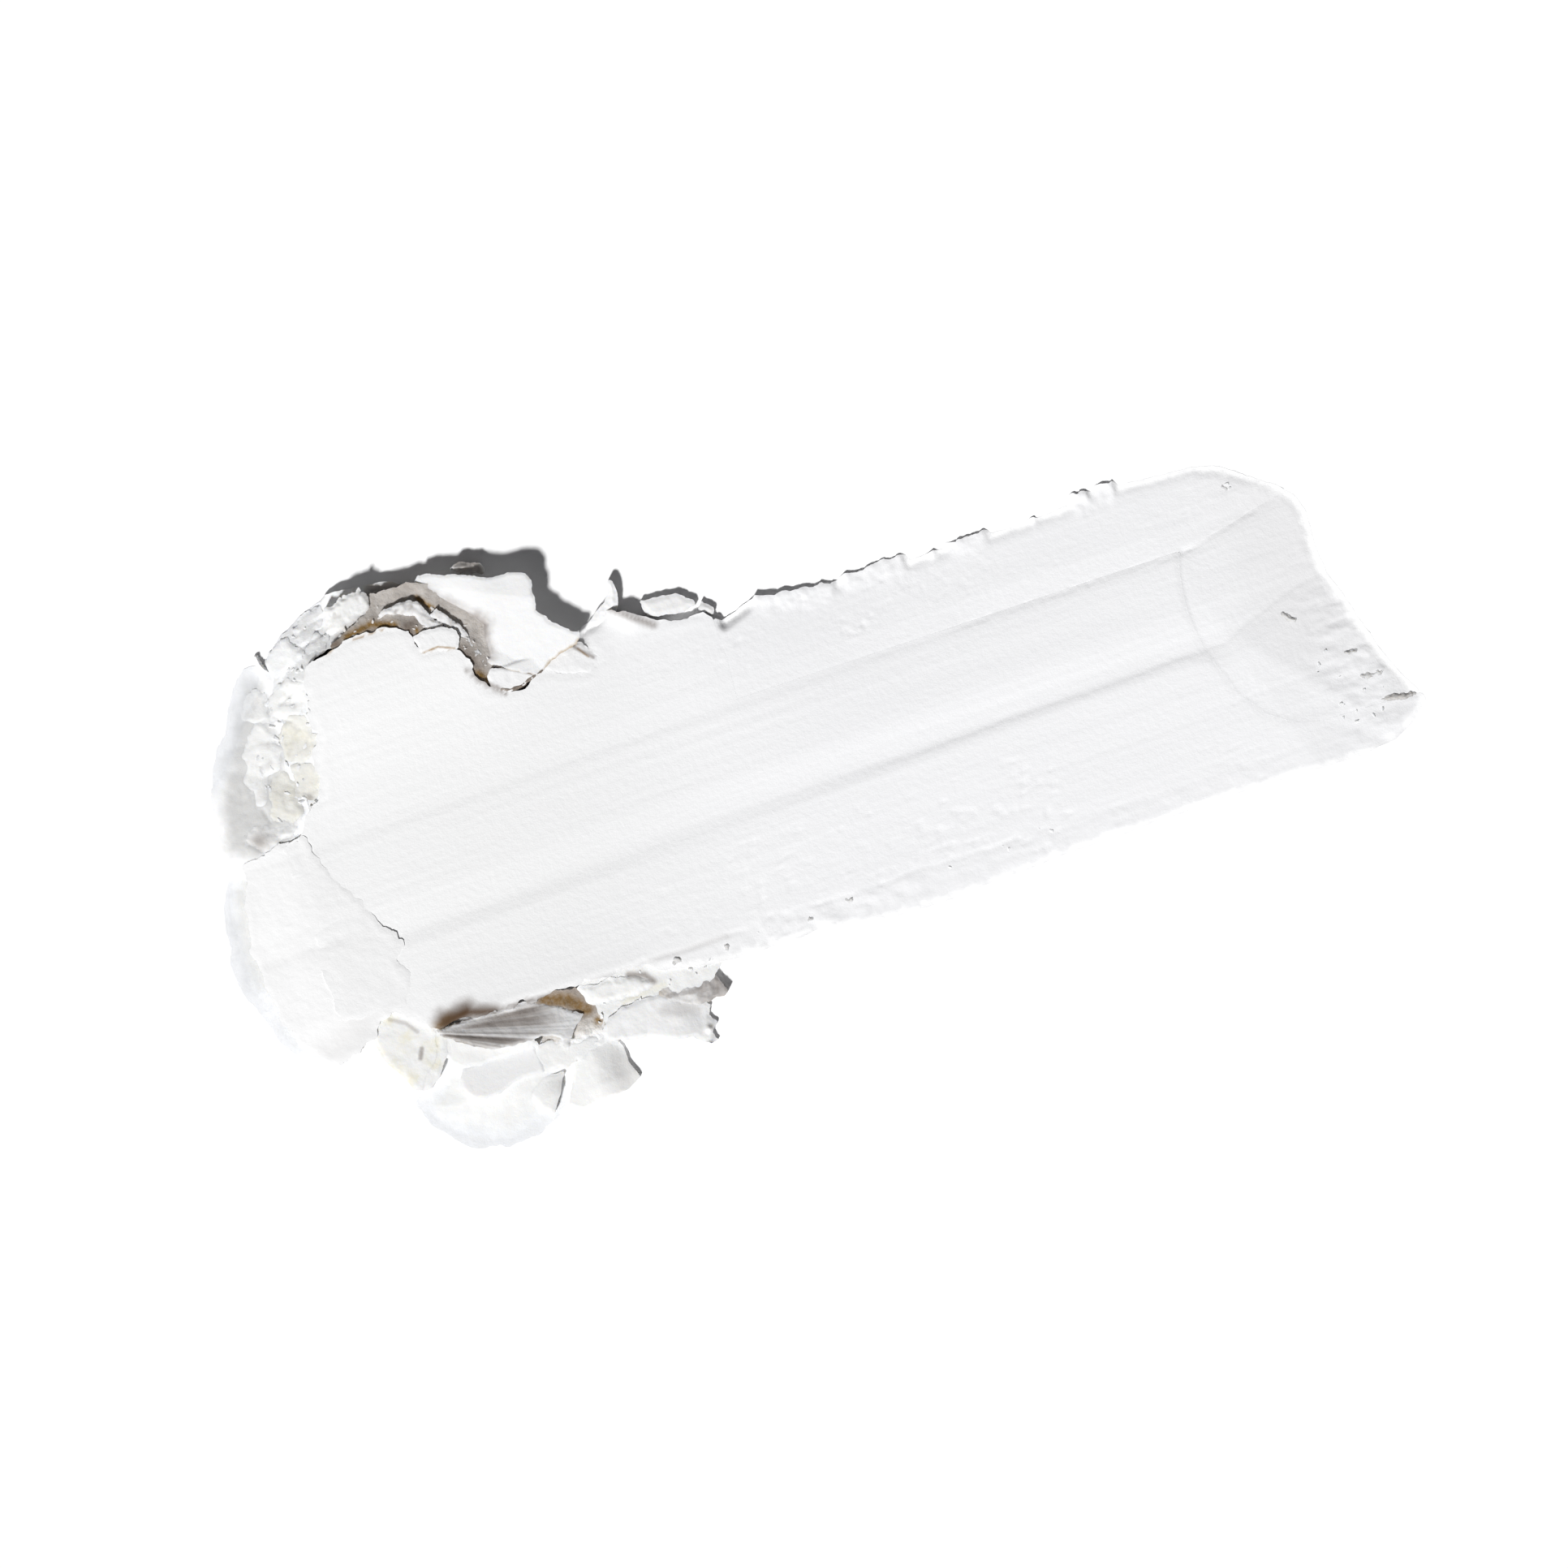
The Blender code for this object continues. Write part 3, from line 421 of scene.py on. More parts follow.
def heel_end(y):
    """Where the end of the heel is at each height across the stroke."""
    return 50.6 + 5.5 * np.clip((-1.5 - y) / 13.0, 0.0, 1.2) ** 1.15


def thin_spot(x, y):
    """1 where the upper edge left of the notch is pressed down to nothing."""
    return bump(from_line(x, y, [(-16.4, 16.2), (-14.6, 16.9)]), 1.1)


def pressed_face(x, y):
    """Height of the drawn layer's face, before its edges are taken into account."""
    z = SLAB_THICKNESS + (END_THICKNESS - SLAB_THICKNESS) * ease(x, -8.0, -40.0)
    z = z + 1.35 * ease(x, -13.0, -28.0) * ease(y, 6.0, 21.0)
    z -= 0.98 * ease(x, -10.0, 12.0) * np.clip((y + 2.0) / 14.8, 0.0, 1.0) ** 1.2
    z += 0.25 * ease(x, -18.0, -30.0) * ease(x, -42.5, -38.5) * ease(y, -8.0, -15.0)
    z += 0.8 * bump(from_line(x, y, [(-12.9, 18.9), (-11.9, 16.9), (-11.2, 16.0)]), 1.0)
    z -= 0.8 * thin_spot(x, y)
    # the heel, which the blade thinned out to nothing at its end
    start = 38.0 - 0.3 * (y - 5.0)
    run = np.clip((x - start) / (heel_end(y) - 0.3 - start), 0.0, 1.0)
    z -= np.maximum(z - 0.1, 0.0) * run ** 1.2
    z += 0.05 * bump(y + 9.0 + 1.05 * (x - 46.0), 1.3) * ease(x, 40.5, 43.0)
    # the score line: its near side falls gently, its far side rises steeply, and it has cracked to the right
    across = y - score_y(x)
    depth = (0.055 + 0.03 * ease(x, -10.0, 20.0)) * ease(x, 50.0, 44.0)
    z -= depth * np.where(across < 0, ease(across, -1.2, 0.0), ease(across, 2.4, 0.0))
    broken = ease(noise(x, 0.0 * y, 7.0, 5, 2), -1.2, 0.1) * ease(x, 4.0, 20.0) * ease(x, 49.5, 46.0)
    torn = across + 0.1 + 0.14 * noise(x, 0.0 * y, 1.1, 6, 3)
    z -= 0.08 * np.where(torn < 0, ease(torn, -0.3, 0.0), ease(torn, 2.4, 0.0)) * broken
    z -= 0.09 * bump(torn, 0.13) * broken * ease(noise(x, 0.0 * y, 1.1, 31, 3), -0.2, 0.4)
    # the valley: a wide, lit side above and a steep, shaded one below
    down = y - valley_y(x)
    deep = (0.13 + 0.12 * ease(x, -15.0, 15.0)) * ease(x, 50.0, 43.0)
    far = -1.7 - 1.6 * ease(x, 36.0, 41.0)
    z -= deep * np.where(down > 0, ease(down, 3.6, 0.0), ease(down / far, 1.0, 0.0))
    torn = down + 0.7 + 0.15 * noise(x, 0.0 * y, 2.0, 7, 3)
    z -= 0.04 * np.where(torn < 0, ease(torn, -0.3, 0.0), ease(torn, 0.8, 0.0)) * ease(x, 2.0, 10.0)
    # the arc where the blade was set down: a small step, gone again further in
    inward = x - np.interp(-y, [-corner[1] for corner in BLADE_ARC], [corner[0] for corner in BLADE_ARC])
    step = (0.065 + 0.05 * ease(y, -2.5, 0.0)) * ease(y, -13.6, -12.0) * ease(y, 6.0, 5.2)
    z -= step * ease(inward, -0.25, 0.25) * ease(inward, 6.0, 1.0)
    # streaks from grit on the blade, a slow unevenness, and pits where it plucked the paste
    z += 0.012 * noise(x, y, 0.55, 11, 3, stretch=60.0) + 0.02 * noise(x, y, 2.6, 12, 2, stretch=22.0)
    z += 0.015 * noise(x, y, 7.0, 13, 3)
    low = ease(y, -6.0, -8.5) * ease(x, -26.0, -4.0) * (0.35 + 0.65 * ease(x, 48.0, 28.0))
    high = ease(y, 6.5, 8.5) * ease(x, -14.0, -4.0) * (0.3 + 0.7 * ease(x, 22.0, 6.0))
    patches = ease(noise(x, y, 6.0, 15, 2), -0.6, 0.2)
    pits = ease(noise(x - 0.6 * y, y + 0.2 * x, 0.75, 14, 2), 0.45, 1.0) * patches
    z -= (0.01 + 0.06 * low + 0.04 * high) * pits
    scraps = ease(noise(x + 0.5 * y, y, 0.5, 24, 2), 0.7, 1.1) * ease(noise(x, y, 4.0, 25, 2), -0.1, 0.6)
    z += (0.005 + 0.035 * low + 0.02 * high) * scraps
    chatter = noise(x, y, 0.32, 16, 2, stretch=1.5) * bump(x - 8.5, 2.2) * bump(y - 8.2, 1.3)
    z += 0.025 * chatter
    # the lower margin, never quite pressed
    margin = ease(y, -14.4, -15.6) * ease(x, -16.0, -10.0) * ease(x, 54.0, 46.0)
    fold = bump(y + 14.8 + 0.15 * noise(x, 0.0 * y, 3.0, 18, 3), 0.22)
    uneven = 0.5 + 0.5 * noise(x, 0.0 * y, 1.8, 26, 3)
    z -= 0.08 * fold * ease(x, -34.0, -26.0) * ease(x, 40.0, 16.0) * uneven
    lumps = 0.08 * noise(x, y, 1.1, 19, 4) * (0.3 + 0.7 * ease(x, 12.0, 0.0))
    z += margin * (lumps + 0.02 * noise(x, y, 2.0, 20, 2))
    # the end and the far corner of the heel crumbled as the blade pressed them
    rough = 0.10 * ease(x, 45.5, 50.0) * ease(y, 1.0, -5.0) + 0.05 * bump(np.hypot(x - 45.3, y - 9.4), 1.6)
    scuffed = 0.04 * bump(np.hypot(x - 48.8, y - 1.8), 1.2)
    z += rough * noise(x, y, 0.9, 22, 4, stretch=2.2) + scuffed * noise(x, y, 0.5, 27, 3, stretch=2.0)
    return z


def lip_share(x, y):
    """1 on the lips of the upper edge, where it stands clear of the board, and 0 elsewhere."""
    share = 0.0 * x
    inset = np.clip(12.8 - y, 0.0, 3.0)
    for start, end in EDGE_LIPS:
        rise = ease(x, start - 0.3, start + 0.7 + 0.5 * inset)
        share = np.maximum(share, rise * ease(x, end + 0.3, end - 0.4 - 0.9 * inset))
    return share * ease(y, 8.0, 10.0)


def torn_share(x, y):
    """1 along the left end and both corners, where the layer tore, and 0 where it thins out."""
    upper = ease(x, -2.8, -4.0) * ease(y, 0.0, 3.0)
    lower = ease(x, -16.0, -24.0) * ease(y, 0.0, -3.0)
    return np.maximum(upper, lower)


# painted shade in brown: the shadow of the feather flake's tip on the slab, and shade along the crevice, the
# lower edge and the notch, with a few dark cracks: line, half width, strength
PAINTED_SHADE_LINES = [
    ([(-39.1, -14.2), (-37.0, -13.9)], 1.35, 1.0), ([(-37.0, -13.9), (-34.6, -14.7)], 0.85, 0.95),
    ([(-35.0, -14.6), (-27.3, -15.0)], 0.3, 0.6), ([(-26.0, -14.9), (-12.0, -14.9)], 0.35, 0.12),
    ([(-26.9, 15.9), (-26.0, 14.7), (-24.9, 13.4)], 0.35, 0.6), ([(-24.9, 13.6), (-24.3, 12.8)], 0.3, 0.6),
    ([(-21.8, -15.4), (-20.4, -15.9), (-19.8, -16.7)], 0.4, 0.6), ([(-24.0, 15.4), (-21.2, 13.7)], 0.22, 0.8),
    ([(-12.6, 17.2), (-11.2, 15.9), (-9.4, 14.5)], 0.5, 0.55), ([(-17.0, 14.9), (-15.6, 13.4)], 0.2, 0.6),
]
# yellow along the cracks, and, in the wide one, the warm part of the painted shadow at the foot of the
# feather flake: line, half width
CRACK_AND_SHADOW_OCHRE = [
    ([(-30.3, 18.7), (-28.8, 18.8), (-27.4, 18.2)], 0.22),
    ([(-19.5, 14.7), (-18.2, 15.2), (-16.8, 15.1)], 0.35),
    ([(-40.0, 21.5), (-38.2, 21.6)], 0.4), ([(-39.9, -14.4), (-38.7, -13.9)], 1.2),
    ([(-36.0, 21.9), (-33.0, 21.9)], 0.3), ([(-21.4, 13.7), (-22.4, 14.4)], 0.2),
    ([(-16.7, 14.6), (-16.0, 13.6)], 0.2),
]


def painted_shade_and_cracks(x, y, d):
    """How brown a place is painted: painted shade on the heel's slope and along the lines above, and a few
    dark cracks.
    """
    # painted shade, a little brown, on the slope of the heel
    share = 0.05 * ease(x, 40.0, 48.0) * ease(y, -12.0, -4.0)
    for line, width, strength in PAINTED_SHADE_LINES:
        blur = width * (1.35 + 0.2 * noise(x, y, 0.9, 28, 3))
        share = np.maximum(share, strength * brush(x, y, line, blur))
    return share


def ochre(x, y, d):
    """How far the binder shows yellow along the cracks; the wide patch at the foot of the feather flake warms
    a painted shadow.
    """
    share = 0.0 * x
    for line, width in CRACK_AND_SHADOW_OCHRE:
        share = np.maximum(share, 0.9 * brush(x, y, line, width))
    return share


def layer_pieces():
    """Casts slab, strip and pad, ragged and thinned at their free edges and closed up along their cracks."""
    names = ("drawn_slab", "upper_strip", "heel_pad")
    outlines = {name: outline_of(name) for name in names}
    free_edges = []
    for name in names:
        others = [outlines[other] for other in names if other != name]
        corners = outlines[name]
        for start, end in zip(corners, np.roll(corners, -1, axis=0)):
            middle = (start + end) / 2
            if max(distance_in(middle[0], middle[1], other) for other in others) < -2 * CRACK_WIDTH:
                free_edges.append([tuple(start), tuple(end)])

    def from_free_edge(x, y):
        return np.minimum.reduce([from_line(x, y, edge) for edge in free_edges])

    for name in names:
        own = outlines[name]
        others = [outlines[other] for other in names if other != name]

        def rim(x, y, own=own, others=others):
            free = ease(-np.maximum.reduce([distance_in(x, y, other) for other in others]), 0.5, 1.5)
            ragged = (0.12 + 0.3 * torn_share(x, y) + 0.25 * lip_share(x, y)) * noise(x, y, 1.5, 21, 4)
            return distance_in(x, y, own) + (CRACK_WIDTH + OVERLAP) / 2 + free * ragged

        # the strip and the pad are a hair lower where they meet the slab, so that no two faces coincide
        def top(x, y, d, sunk=0.0 if name == "drawn_slab" else 0.008):
            outer = np.minimum(from_free_edge(x, y) + 0.25, 4.0)
            torn, lip = torn_share(x, y) * (1 - thin_spot(x, y)), lip_share(x, y)
            lift = 0.28 * np.clip(1 - (outer - 0.2) / 2.6, 0.0, 1.0) ** 1.5 + 0.1 * noise(x, y, 1.0, 29, 3)
            z = pressed_face(x, y) + lip * np.maximum(lift, 0.0) * ease(outer, 2.8, 0.4)
            stands = np.maximum.reduce([torn, lip, ease(y, -8.0, -11.0) * ease(x, 54.0, 50.0)])
            z = z * (stands + (1 - stands) * ease(outer, 0.15, 1.2))
            z = z - 0.08 * (1 - ease(outer, 0.1, 0.5)) * torn + 0.03 * bump(outer - 0.8, 0.5) * torn
            return np.maximum(z - sunk * ease(d, 0.5, 0.1), LEAST_FACE)

        def film_and_painted_light(x, y, d):
            outer = from_free_edge(x, y) + 0.25 * noise(x, y, 0.8, 23, 3)
            bare = 1 - np.maximum(torn_share(x, y) * (1 - thin_spot(x, y)), lip_share(x, y))
            reach = 0.6 + 0.3 * ease(x, 42.0, 48.0) * ease(y, -16.0, -13.0)
            return bare * (1 - ease(outer / reach, 0.0, 1.0))

        box = (own.min(axis=0) - 1.0, own.max(axis=0) + 1.0)
        cell = SLAB_CELL if name == "drawn_slab" else PAD_CELL
        oblong = SLAB_OBLONG if name == "drawn_slab" else 1.0
        piece = cast(name + "_cast", rim, box, cell, top, stain=ochre, soak_and_painted_shade=painted_shade_and_cracks, film_and_painted_light=film_and_painted_light, oblong=oblong)
        finish_piece(piece, set_chalk, "set_chalk", name)


layer_pieces()


# ---------------------------------------------------------------- banks
# Surplus paste that the blade pushed off its end and past its corners. It was never pressed, so it lies in
# soft, crumbly mounds on the board, low enough at their outer edge to fade out.

SKIRT_HEIGHT = 0.9
LEAST_BANK = 0.05
OFF_CENTRE = 0.3  # of the outlines given here from those of the frame, both ways
SLAB_OUTLINE = outline_of("drawn_slab")


def paste_piece(name, material, slot, top, under=None, ragged=0.25, lump=1.2, cell=0.15, grow=0.0, stain=None,
                soak_and_painted_shade=None, film_and_painted_light=None, clear_of=(), outline=None):
    """Casts the piece that stands for a node of the frame, on its outline, or the one given, made ragged.

    It is grown a little to close the gaps that the solids keep, but never into the nodes in clear_of.
    """
    own = outline_of(name) if outline is None else np.array(outline) + OFF_CENTRE
    neighbours = [outline_of(other) for other in clear_of]
    seed = sum(map(ord, name))  # so that each piece is torn in its own way

    def rim(x, y):
        d = distance_in(x, y, own) + grow
        for neighbour in neighbours:
            d = np.minimum(d, -distance_in(x, y, neighbour) - 0.05)
        return d + ragged * noise(x, y, lump, seed, 4)

    margin = grow + 2 * ragged + 0.5
    box = (own.min(axis=0) - margin, own.max(axis=0) + margin)
    piece = cast(name + "_cast", rim, box, cell, top, under, stain, soak_and_painted_shade, film_and_painted_light)
    finish_piece(piece, material, slot, *([name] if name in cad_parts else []))


def blots(x, y, *spots):
    """Soft round spots, each given as its centre and radius. The largest share of any of them."""
    share = 0.0 * x
    for sx, sy, radius in spots:
        share = np.maximum(share, bump(np.hypot(x - sx, y - sy), radius))
    return share


def even(amount):
    """The same amount, or height, everywhere on a piece."""
    return lambda x, y, d: amount + 0.0 * x


# never pressed, so it is looser and lets a little light in; the skirt is thinner, and a shade greyer as
# painted shade that damps the lamp on its slopes facing it
bank_chalk = chalk("crumbly_dry_chalk_paste", "#e9e9e8", "#e2dbb6", grain=0.45, relief=0.05)
skirt_painted_shade_chalk = chalk("smooth_dry_chalk_paste", "#d9d9d8", "#e2dbb6", grain=0.6, relief=0.04)

# short cracks and creases in the rim
RIM_MARKS = [
    [(-45.2, 17.5), (-43.9, 16.6)], [(-44.2, 18.5), (-42.9, 19.1)], [(-48.9, 9.7), (-48.6, 8.4)],
    [(-48.2, 6.6), (-46.3, 6.6)], [(-51.4, 7.4), (-50.0, 6.0)], [(-43.6, 20.4), (-42.2, 21.6)],
    [(-41.2, 22.6), (-39.0, 23.2)], [(-41.2, 24.0), (-40.0, 24.4)], [(-39.6, 24.6), (-37.9, 24.9)],
]


def end_ground(x, y):
    """Height of the heaped paste round the left end: level with the slab beside it, and falling outward."""
    out = np.maximum(-distance_in(x, y, SLAB_OUTLINE), 0.0)
    beside = pressed_face(x, y) - 0.13 - 0.45 * ease(out, 0.0, 1.8) * ease(y, 8.0, 18.0)
    reach = 9.5 - 4.9 * ease(y, 12.0, 22.0) + 3.5 * ease(x, -38.5, -36.0)
    return beside * np.clip(1 - (out / reach) ** 1.1, 0.0, 1.0)


def beneath_slab(x, y, z):
    """Keeps a height below the slab's face, where the two overlap."""
    return np.where(distance_in(x, y, SLAB_OUTLINE) > -0.15, np.minimum(z, pressed_face(x, y) - 0.15), z)


def rim_relief(x, y, seed):
    """Crumbly relief of the rim: soft lumps, with sharper scraps standing out of them here and there."""
    soft = 0.09 * noise(x, y, 2.2, 43, 3) + 0.04 * noise(x, y, 0.8, 44, 3)
    patches = ease(noise(x, y, 3.0, 45, 2), -0.5, 0.3)
    scraps = 0.07 * ease(noise(x + 0.4 * y, y, 1.1, seed, 3), 0.1, 0.4) * patches
    pits = 0.07 * ease(noise(x, y - 0.5 * x, 0.9, seed + 1, 2), 0.6, 1.0)
    marks = np.minimum.reduce([from_line(x, y, mark) for mark in RIM_MARKS])
    return soft + scraps - pits - 0.14 * bump(marks, 0.18)


def rim_top_with(seed, lift):
    """The face of a piece of the rim, lifted in its middle, with crumbs that its seed draws."""
    def top(x, y, d):
        ground = end_ground(x, y)
        relief = rim_relief(x, y, seed) * ease(ground, 0.3, 1.4)
        z = ground + lift * (ease(d, 0.0, 0.5) - 0.5) + relief
        # a hair of height for each seed, so that no two faces coincide
        return np.maximum(beneath_slab(x, y, z), 0.06) + 0.004 * (seed - 50)

    return top


def ridge_painted_light(x, y, d):
    """Painted light: the back of the ridge turned towards the board's white, so that its shaded slope hardly
    shows.
    """
    out = -distance_in(x, y, SLAB_OUTLINE)
    return 0.8 * ease(out, 0.6, 3.0) * ease(x, -34.0, -36.5)


def left_bank_top(x, y, d):
    """A smooth skirt round the end of the stroke, dented here and there."""
    inward = np.clip((x + 56.5 - 0.02 * y * y) / 9.0, 0.0, 1.0)
    rise = 1.35 * inward * ease(d, 0.0, 2.5) + 0.06 * noise(x, y, 2.6, 41, 4) + 0.02 * noise(x, y, 0.7, 42, 3)
    dips = blots(x, y, (-52.2, 3.8, 0.3), (-52.7, 1.3, 0.25), (-53.2, -1.7, 0.2), (-51.7, -8.0, 0.3),
                 (-52.2, -9.2, 0.25), (-51.2, -12.5, 0.25))
    return np.maximum(rise - 0.35 * dips, LEAST_BANK)


def bank_film(x, y, d):
    """The outer edge of a bank, thin enough for the board to show through."""
    return ease(d + 0.3 * noise(x, y, 1.0, 40, 3), 2.2, 0.0)


def lower_bank_top(x, y, d):
    under_flakes = 0.4 * brush(x, y, [(-34.5, -19.0), (-28.5, -20.0)], 5.0, 1.2)
    rise = SKIRT_HEIGHT * ease(d, 0.0, 5.0) + under_flakes + 0.03 * noise(x, y, 2.0, 46, 4)
    return np.maximum(rise, LEAST_BANK)


def rim_stain(x, y, d):
    return 0.25 * ease(noise(x, y, 2.0, 47, 2), 0.2, 0.9) * ease(x, -50.0, -47.0)


def ridge_painted_shade_and_specks(x, y, d):
    """Painted shade in brown where the ridge shades the floor, under the raised chunk and beside the slab,
    and brown specks.
    """
    shaded = brush(x, y, [(-33.0, 25.3), (-30.5, 25.0)], 1.2, 0.2)
    inner = brush(x, y, [(-37.0, 22.3), (-34.0, 23.3)], 1.1, 0.1)
    specks = 0.2 * ease(noise(x, y, 0.7, 48, 2), 0.5, 0.9)
    beside = 0.35 * ease(-distance_in(x, y, SLAB_OUTLINE), 0.55, 0.0) * ease(x, -41.5, -40.0)
    return np.maximum.reduce([0.6 * shaded, 0.6 * inner, beside, specks * ease(x, -47.0, -43.0)])


paste_piece("left_bank", skirt_painted_shade_chalk, "bank_chalk", left_bank_top, ragged=0.45, lump=3.0, grow=0.6,
            film_and_painted_light=bank_film)
paste_piece("rim_bank", skirt_painted_shade_chalk, "bank_chalk", rim_top_with(50, 0.0), ragged=0.4, lump=2.4, grow=2.0,
            stain=rim_stain, soak_and_painted_shade=even(0.05), film_and_painted_light=bank_film)
paste_piece("rim_bed", bank_chalk, "bank_chalk", rim_top_with(40, 0.0), ragged=0.1, lump=1.0, outline=[
    (-46.5, 6.2), (-45.0, 5.6), (-42.6, 8.0), (-41.8, 12.0), (-41.2, 16.0), (-40.6, 20.0), (-40.8, 21.6),
    (-44.0, 21.2), (-46.0, 18.0), (-47.5, 14.0), (-47.5, 9.0)])
paste_piece("upper_bank", bank_chalk, "bank_chalk", rim_top_with(52, 0.0), ragged=0.2, lump=1.0, grow=0.35,
            soak_and_painted_shade=ridge_painted_shade_and_specks, film_and_painted_light=ridge_painted_light, clear_of=("torn_plate",))
paste_piece("lower_bank", bank_chalk, "bank_chalk", lower_bank_top, ragged=0.5, lump=3.0, grow=0.5,
            film_and_painted_light=bank_film)


# ---------------------------------------------------------------- folded lobe
# The last of the stroke, which stayed on the blade as it lifted and fell back over the slab. Its torn edge
# lies on the slab and is a little raised; the rest runs down into the left bank.


def lobe_top(x, y, d):
    """Level, with two shallow creases, and falling away to the left and at its lower end."""
    z = 2.46 - 1.08 * ease(x, -46.5, -55.5) + 0.04 * noise(x, y, 3.0, 51, 4)
    z -= 0.10 * bump(y + 3.7, 0.8) * ease(x, -43.5, -46.0) + 0.05 * bump(y + 2.2, 0.7) * ease(x, -43.0, -46.0)
    z -= 0.35 * ease(y, -10.0, -13.5) * ease(x, -43.0, -46.0)
    z += 0.03 * bump(d - 0.6, 0.5) * ease(x, -50.0, -46.0) - 0.04 * (1 - ease(d, 0.0, 0.4))
    blend = ease(y, 1.0, 5.5) * ease(x, -45.5, -47.5)
    return z * (1 - blend) + blend * (end_ground(x, y) + 0.12) + 0.012 * noise(x, y, 0.6, 52, 3)


def lobe_under(x, y, d):
    return np.where(x > -47.0, 1.9, 0.5) + 0.0 * y


# a little brown all over, and painted shade towards its lower end
def lobe_tone_and_painted_shade(x, y, d):
    return 0.02 + 0.06 * brush(x, y, [(-50.0, -13.2), (-46.5, -12.2)], 2.6)


paste_piece("fold_lobe", set_chalk, "set_chalk", lobe_top, lobe_under, ragged=0.35, lump=1.1, grow=0.25,
            soak_and_painted_shade=lobe_tone_and_painted_shade)


# ---------------------------------------------------------------- rim chunks
# Lumps of the rim that came away as it dried, still bedded in it. Three of them show the binder, which has
# gathered there and turned pale yellow.

# the binder has dried in it like a varnish, so it is dull and a little yellow all through
stained_chalk = chalk("binder_stained_chalk_paste", "#e0dfda", "#d6d0ae", grain=0.4, relief=0.05)

for number in range(1, 8):
    name = f"rim_chunk_{number}"
    yellow = number in (2, 3, 5)

    def chunk_stain(x, y, d, yellow=yellow, number=number):
        clouds = ease(noise(x, y, 1.8, 70 + number, 3), -0.5, 0.8)
        return (0.4 if yellow else 0.08) * clouds * ease(d, 0.0, 0.6)

    def chunk_soak(x, y, d, number=number):
        olive = 0.5 * blots(x, y, (-44.5, 9.3, 0.4), (-50.2, 7.0, 0.9), (-48.7, 9.0, 0.2))
        return np.maximum(olive, 0.1 * ease(noise(x, y, 0.7, 77 + number, 2), 0.4, 0.9))

    paste_piece(name, stained_chalk if yellow else bank_chalk, "stained_chalk" if yellow else "bank_chalk",
                rim_top_with(53 + 2 * number, 0.12), ragged=0.4, lump=1.2, cell=0.13, grow=0.35,
                stain=chunk_stain, soak_and_painted_shade=chunk_soak)


# ---------------------------------------------------------------- crevice floor
# What the tearing left under the ridge and the plate: a thin layer of binder and crumbs, ochre where the
# binder ran together. The brown on it is painted shade, darkest at the foot of the slab.

# mostly binder with crumbs in it, so it is the roughest and a little warm; its painted shade is brown rather
# than grey
floor_paste = chalk("binder_film_with_chalk_crumbs", "#dfdbd6", "#94743c", grain=0.4, relief=0.1,
                    soak_and_painted_shade_colour="#5f4c3b")

# ochre along the floor: line, half width
CREVICE_OCHRE = [
    ([(-36.5, 22.3), (-34.0, 22.7), (-32.0, 22.0)], 0.7), ([(-39.8, 21.2), (-38.0, 21.4)], 0.4),
    ([(-29.3, 23.8), (-27.8, 21.8), (-26.8, 19.6)], 0.35), ([(-26.2, 15.4), (-25.4, 14.4)], 0.7),
    ([(-30.2, 21.0), (-30.1, 19.8)], 0.3),
]


def floor_top(x, y, d):
    out = np.maximum(-distance_in(x, y, SLAB_OUTLINE), 0.0)
    z = pressed_face(x, y) - 0.2 - 0.65 * ease(out, 0.1, 3.0)
    z -= 0.3 * ease(y, 17.0, 14.0) * ease(out, 0.1, 1.0)
    z += 0.3 * ease(x, -25.5, -24.3) * ease(y, 16.0, 14.0)
    return beneath_slab(x, y, z + 0.1 * noise(x, y, 1.0, 121, 4))


def floor_stain(x, y, d):
    share = 0.0 * x
    for line, width in CREVICE_OCHRE:
        share = np.maximum(share, brush(x, y, line, width + 0.3))
    return share


def floor_painted_shade(x, y, d):
    """Painted shade in brown, darkest at the foot of the slab, blotchy, and lighter where the ochre is."""
    out = -distance_in(x, y, SLAB_OUTLINE)
    gradient = 0.35 + 0.45 * ease(out + 0.3 * noise(x, y, 1.5, 123, 3), 2.2, 0.0)
    return (gradient + 0.12 * noise(x, y, 1.0, 122, 3)) * (1 - 0.6 * floor_stain(x, y, d))


paste_piece("crevice_floor", floor_paste, "stained_chalk", floor_top, ragged=0.2, lump=0.8, cell=0.12,
            stain=floor_stain, soak_and_painted_shade=floor_painted_shade, outline=[
                (-38.4, 21.0), (-36.0, 20.9), (-30.4, 19.0), (-27.6, 16.5), (-25.6, 13.2), (-24.0, 12.4),
                (-20.6, 13.3), (-22.0, 16.5), (-23.0, 20.0), (-26.0, 23.0), (-30.0, 25.2), (-33.5, 25.0),
                (-34.5, 23.6), (-36.8, 22.5), (-38.4, 21.8)])


# ---------------------------------------------------------------- ridge
# What is left of the upper edge past the corner of the blade: broken chunks on the upper bank, the last of
# them tilted up over the crevice, a spike at the left end and a thin chip that arches over the crevice.

# a thin skin that dried fastest: nearly as white as the pressed layer, and soft at its edges
flake_chalk = chalk("flaked_dry_chalk_paste", "#ebebeb", "#a1834c", grain=0.5, relief=0.05)


def plane(height, x0, y0, slope_x, slope_y):
    """A tilted level that is height high at x0, y0."""
    return lambda x, y: height + slope_x * (x - x0) + slope_y * (y - y0)


for number in (1, 2, 3):
    paste_piece(f"ridge_chunk_{number}", bank_chalk, "bank_chalk", rim_top_with(80 + 2 * number, 0.12),
                ragged=0.35, lump=1.0, cell=0.12, grow=0.25, soak_and_painted_shade=ridge_painted_shade_and_specks, film_and_painted_light=ridge_painted_light)


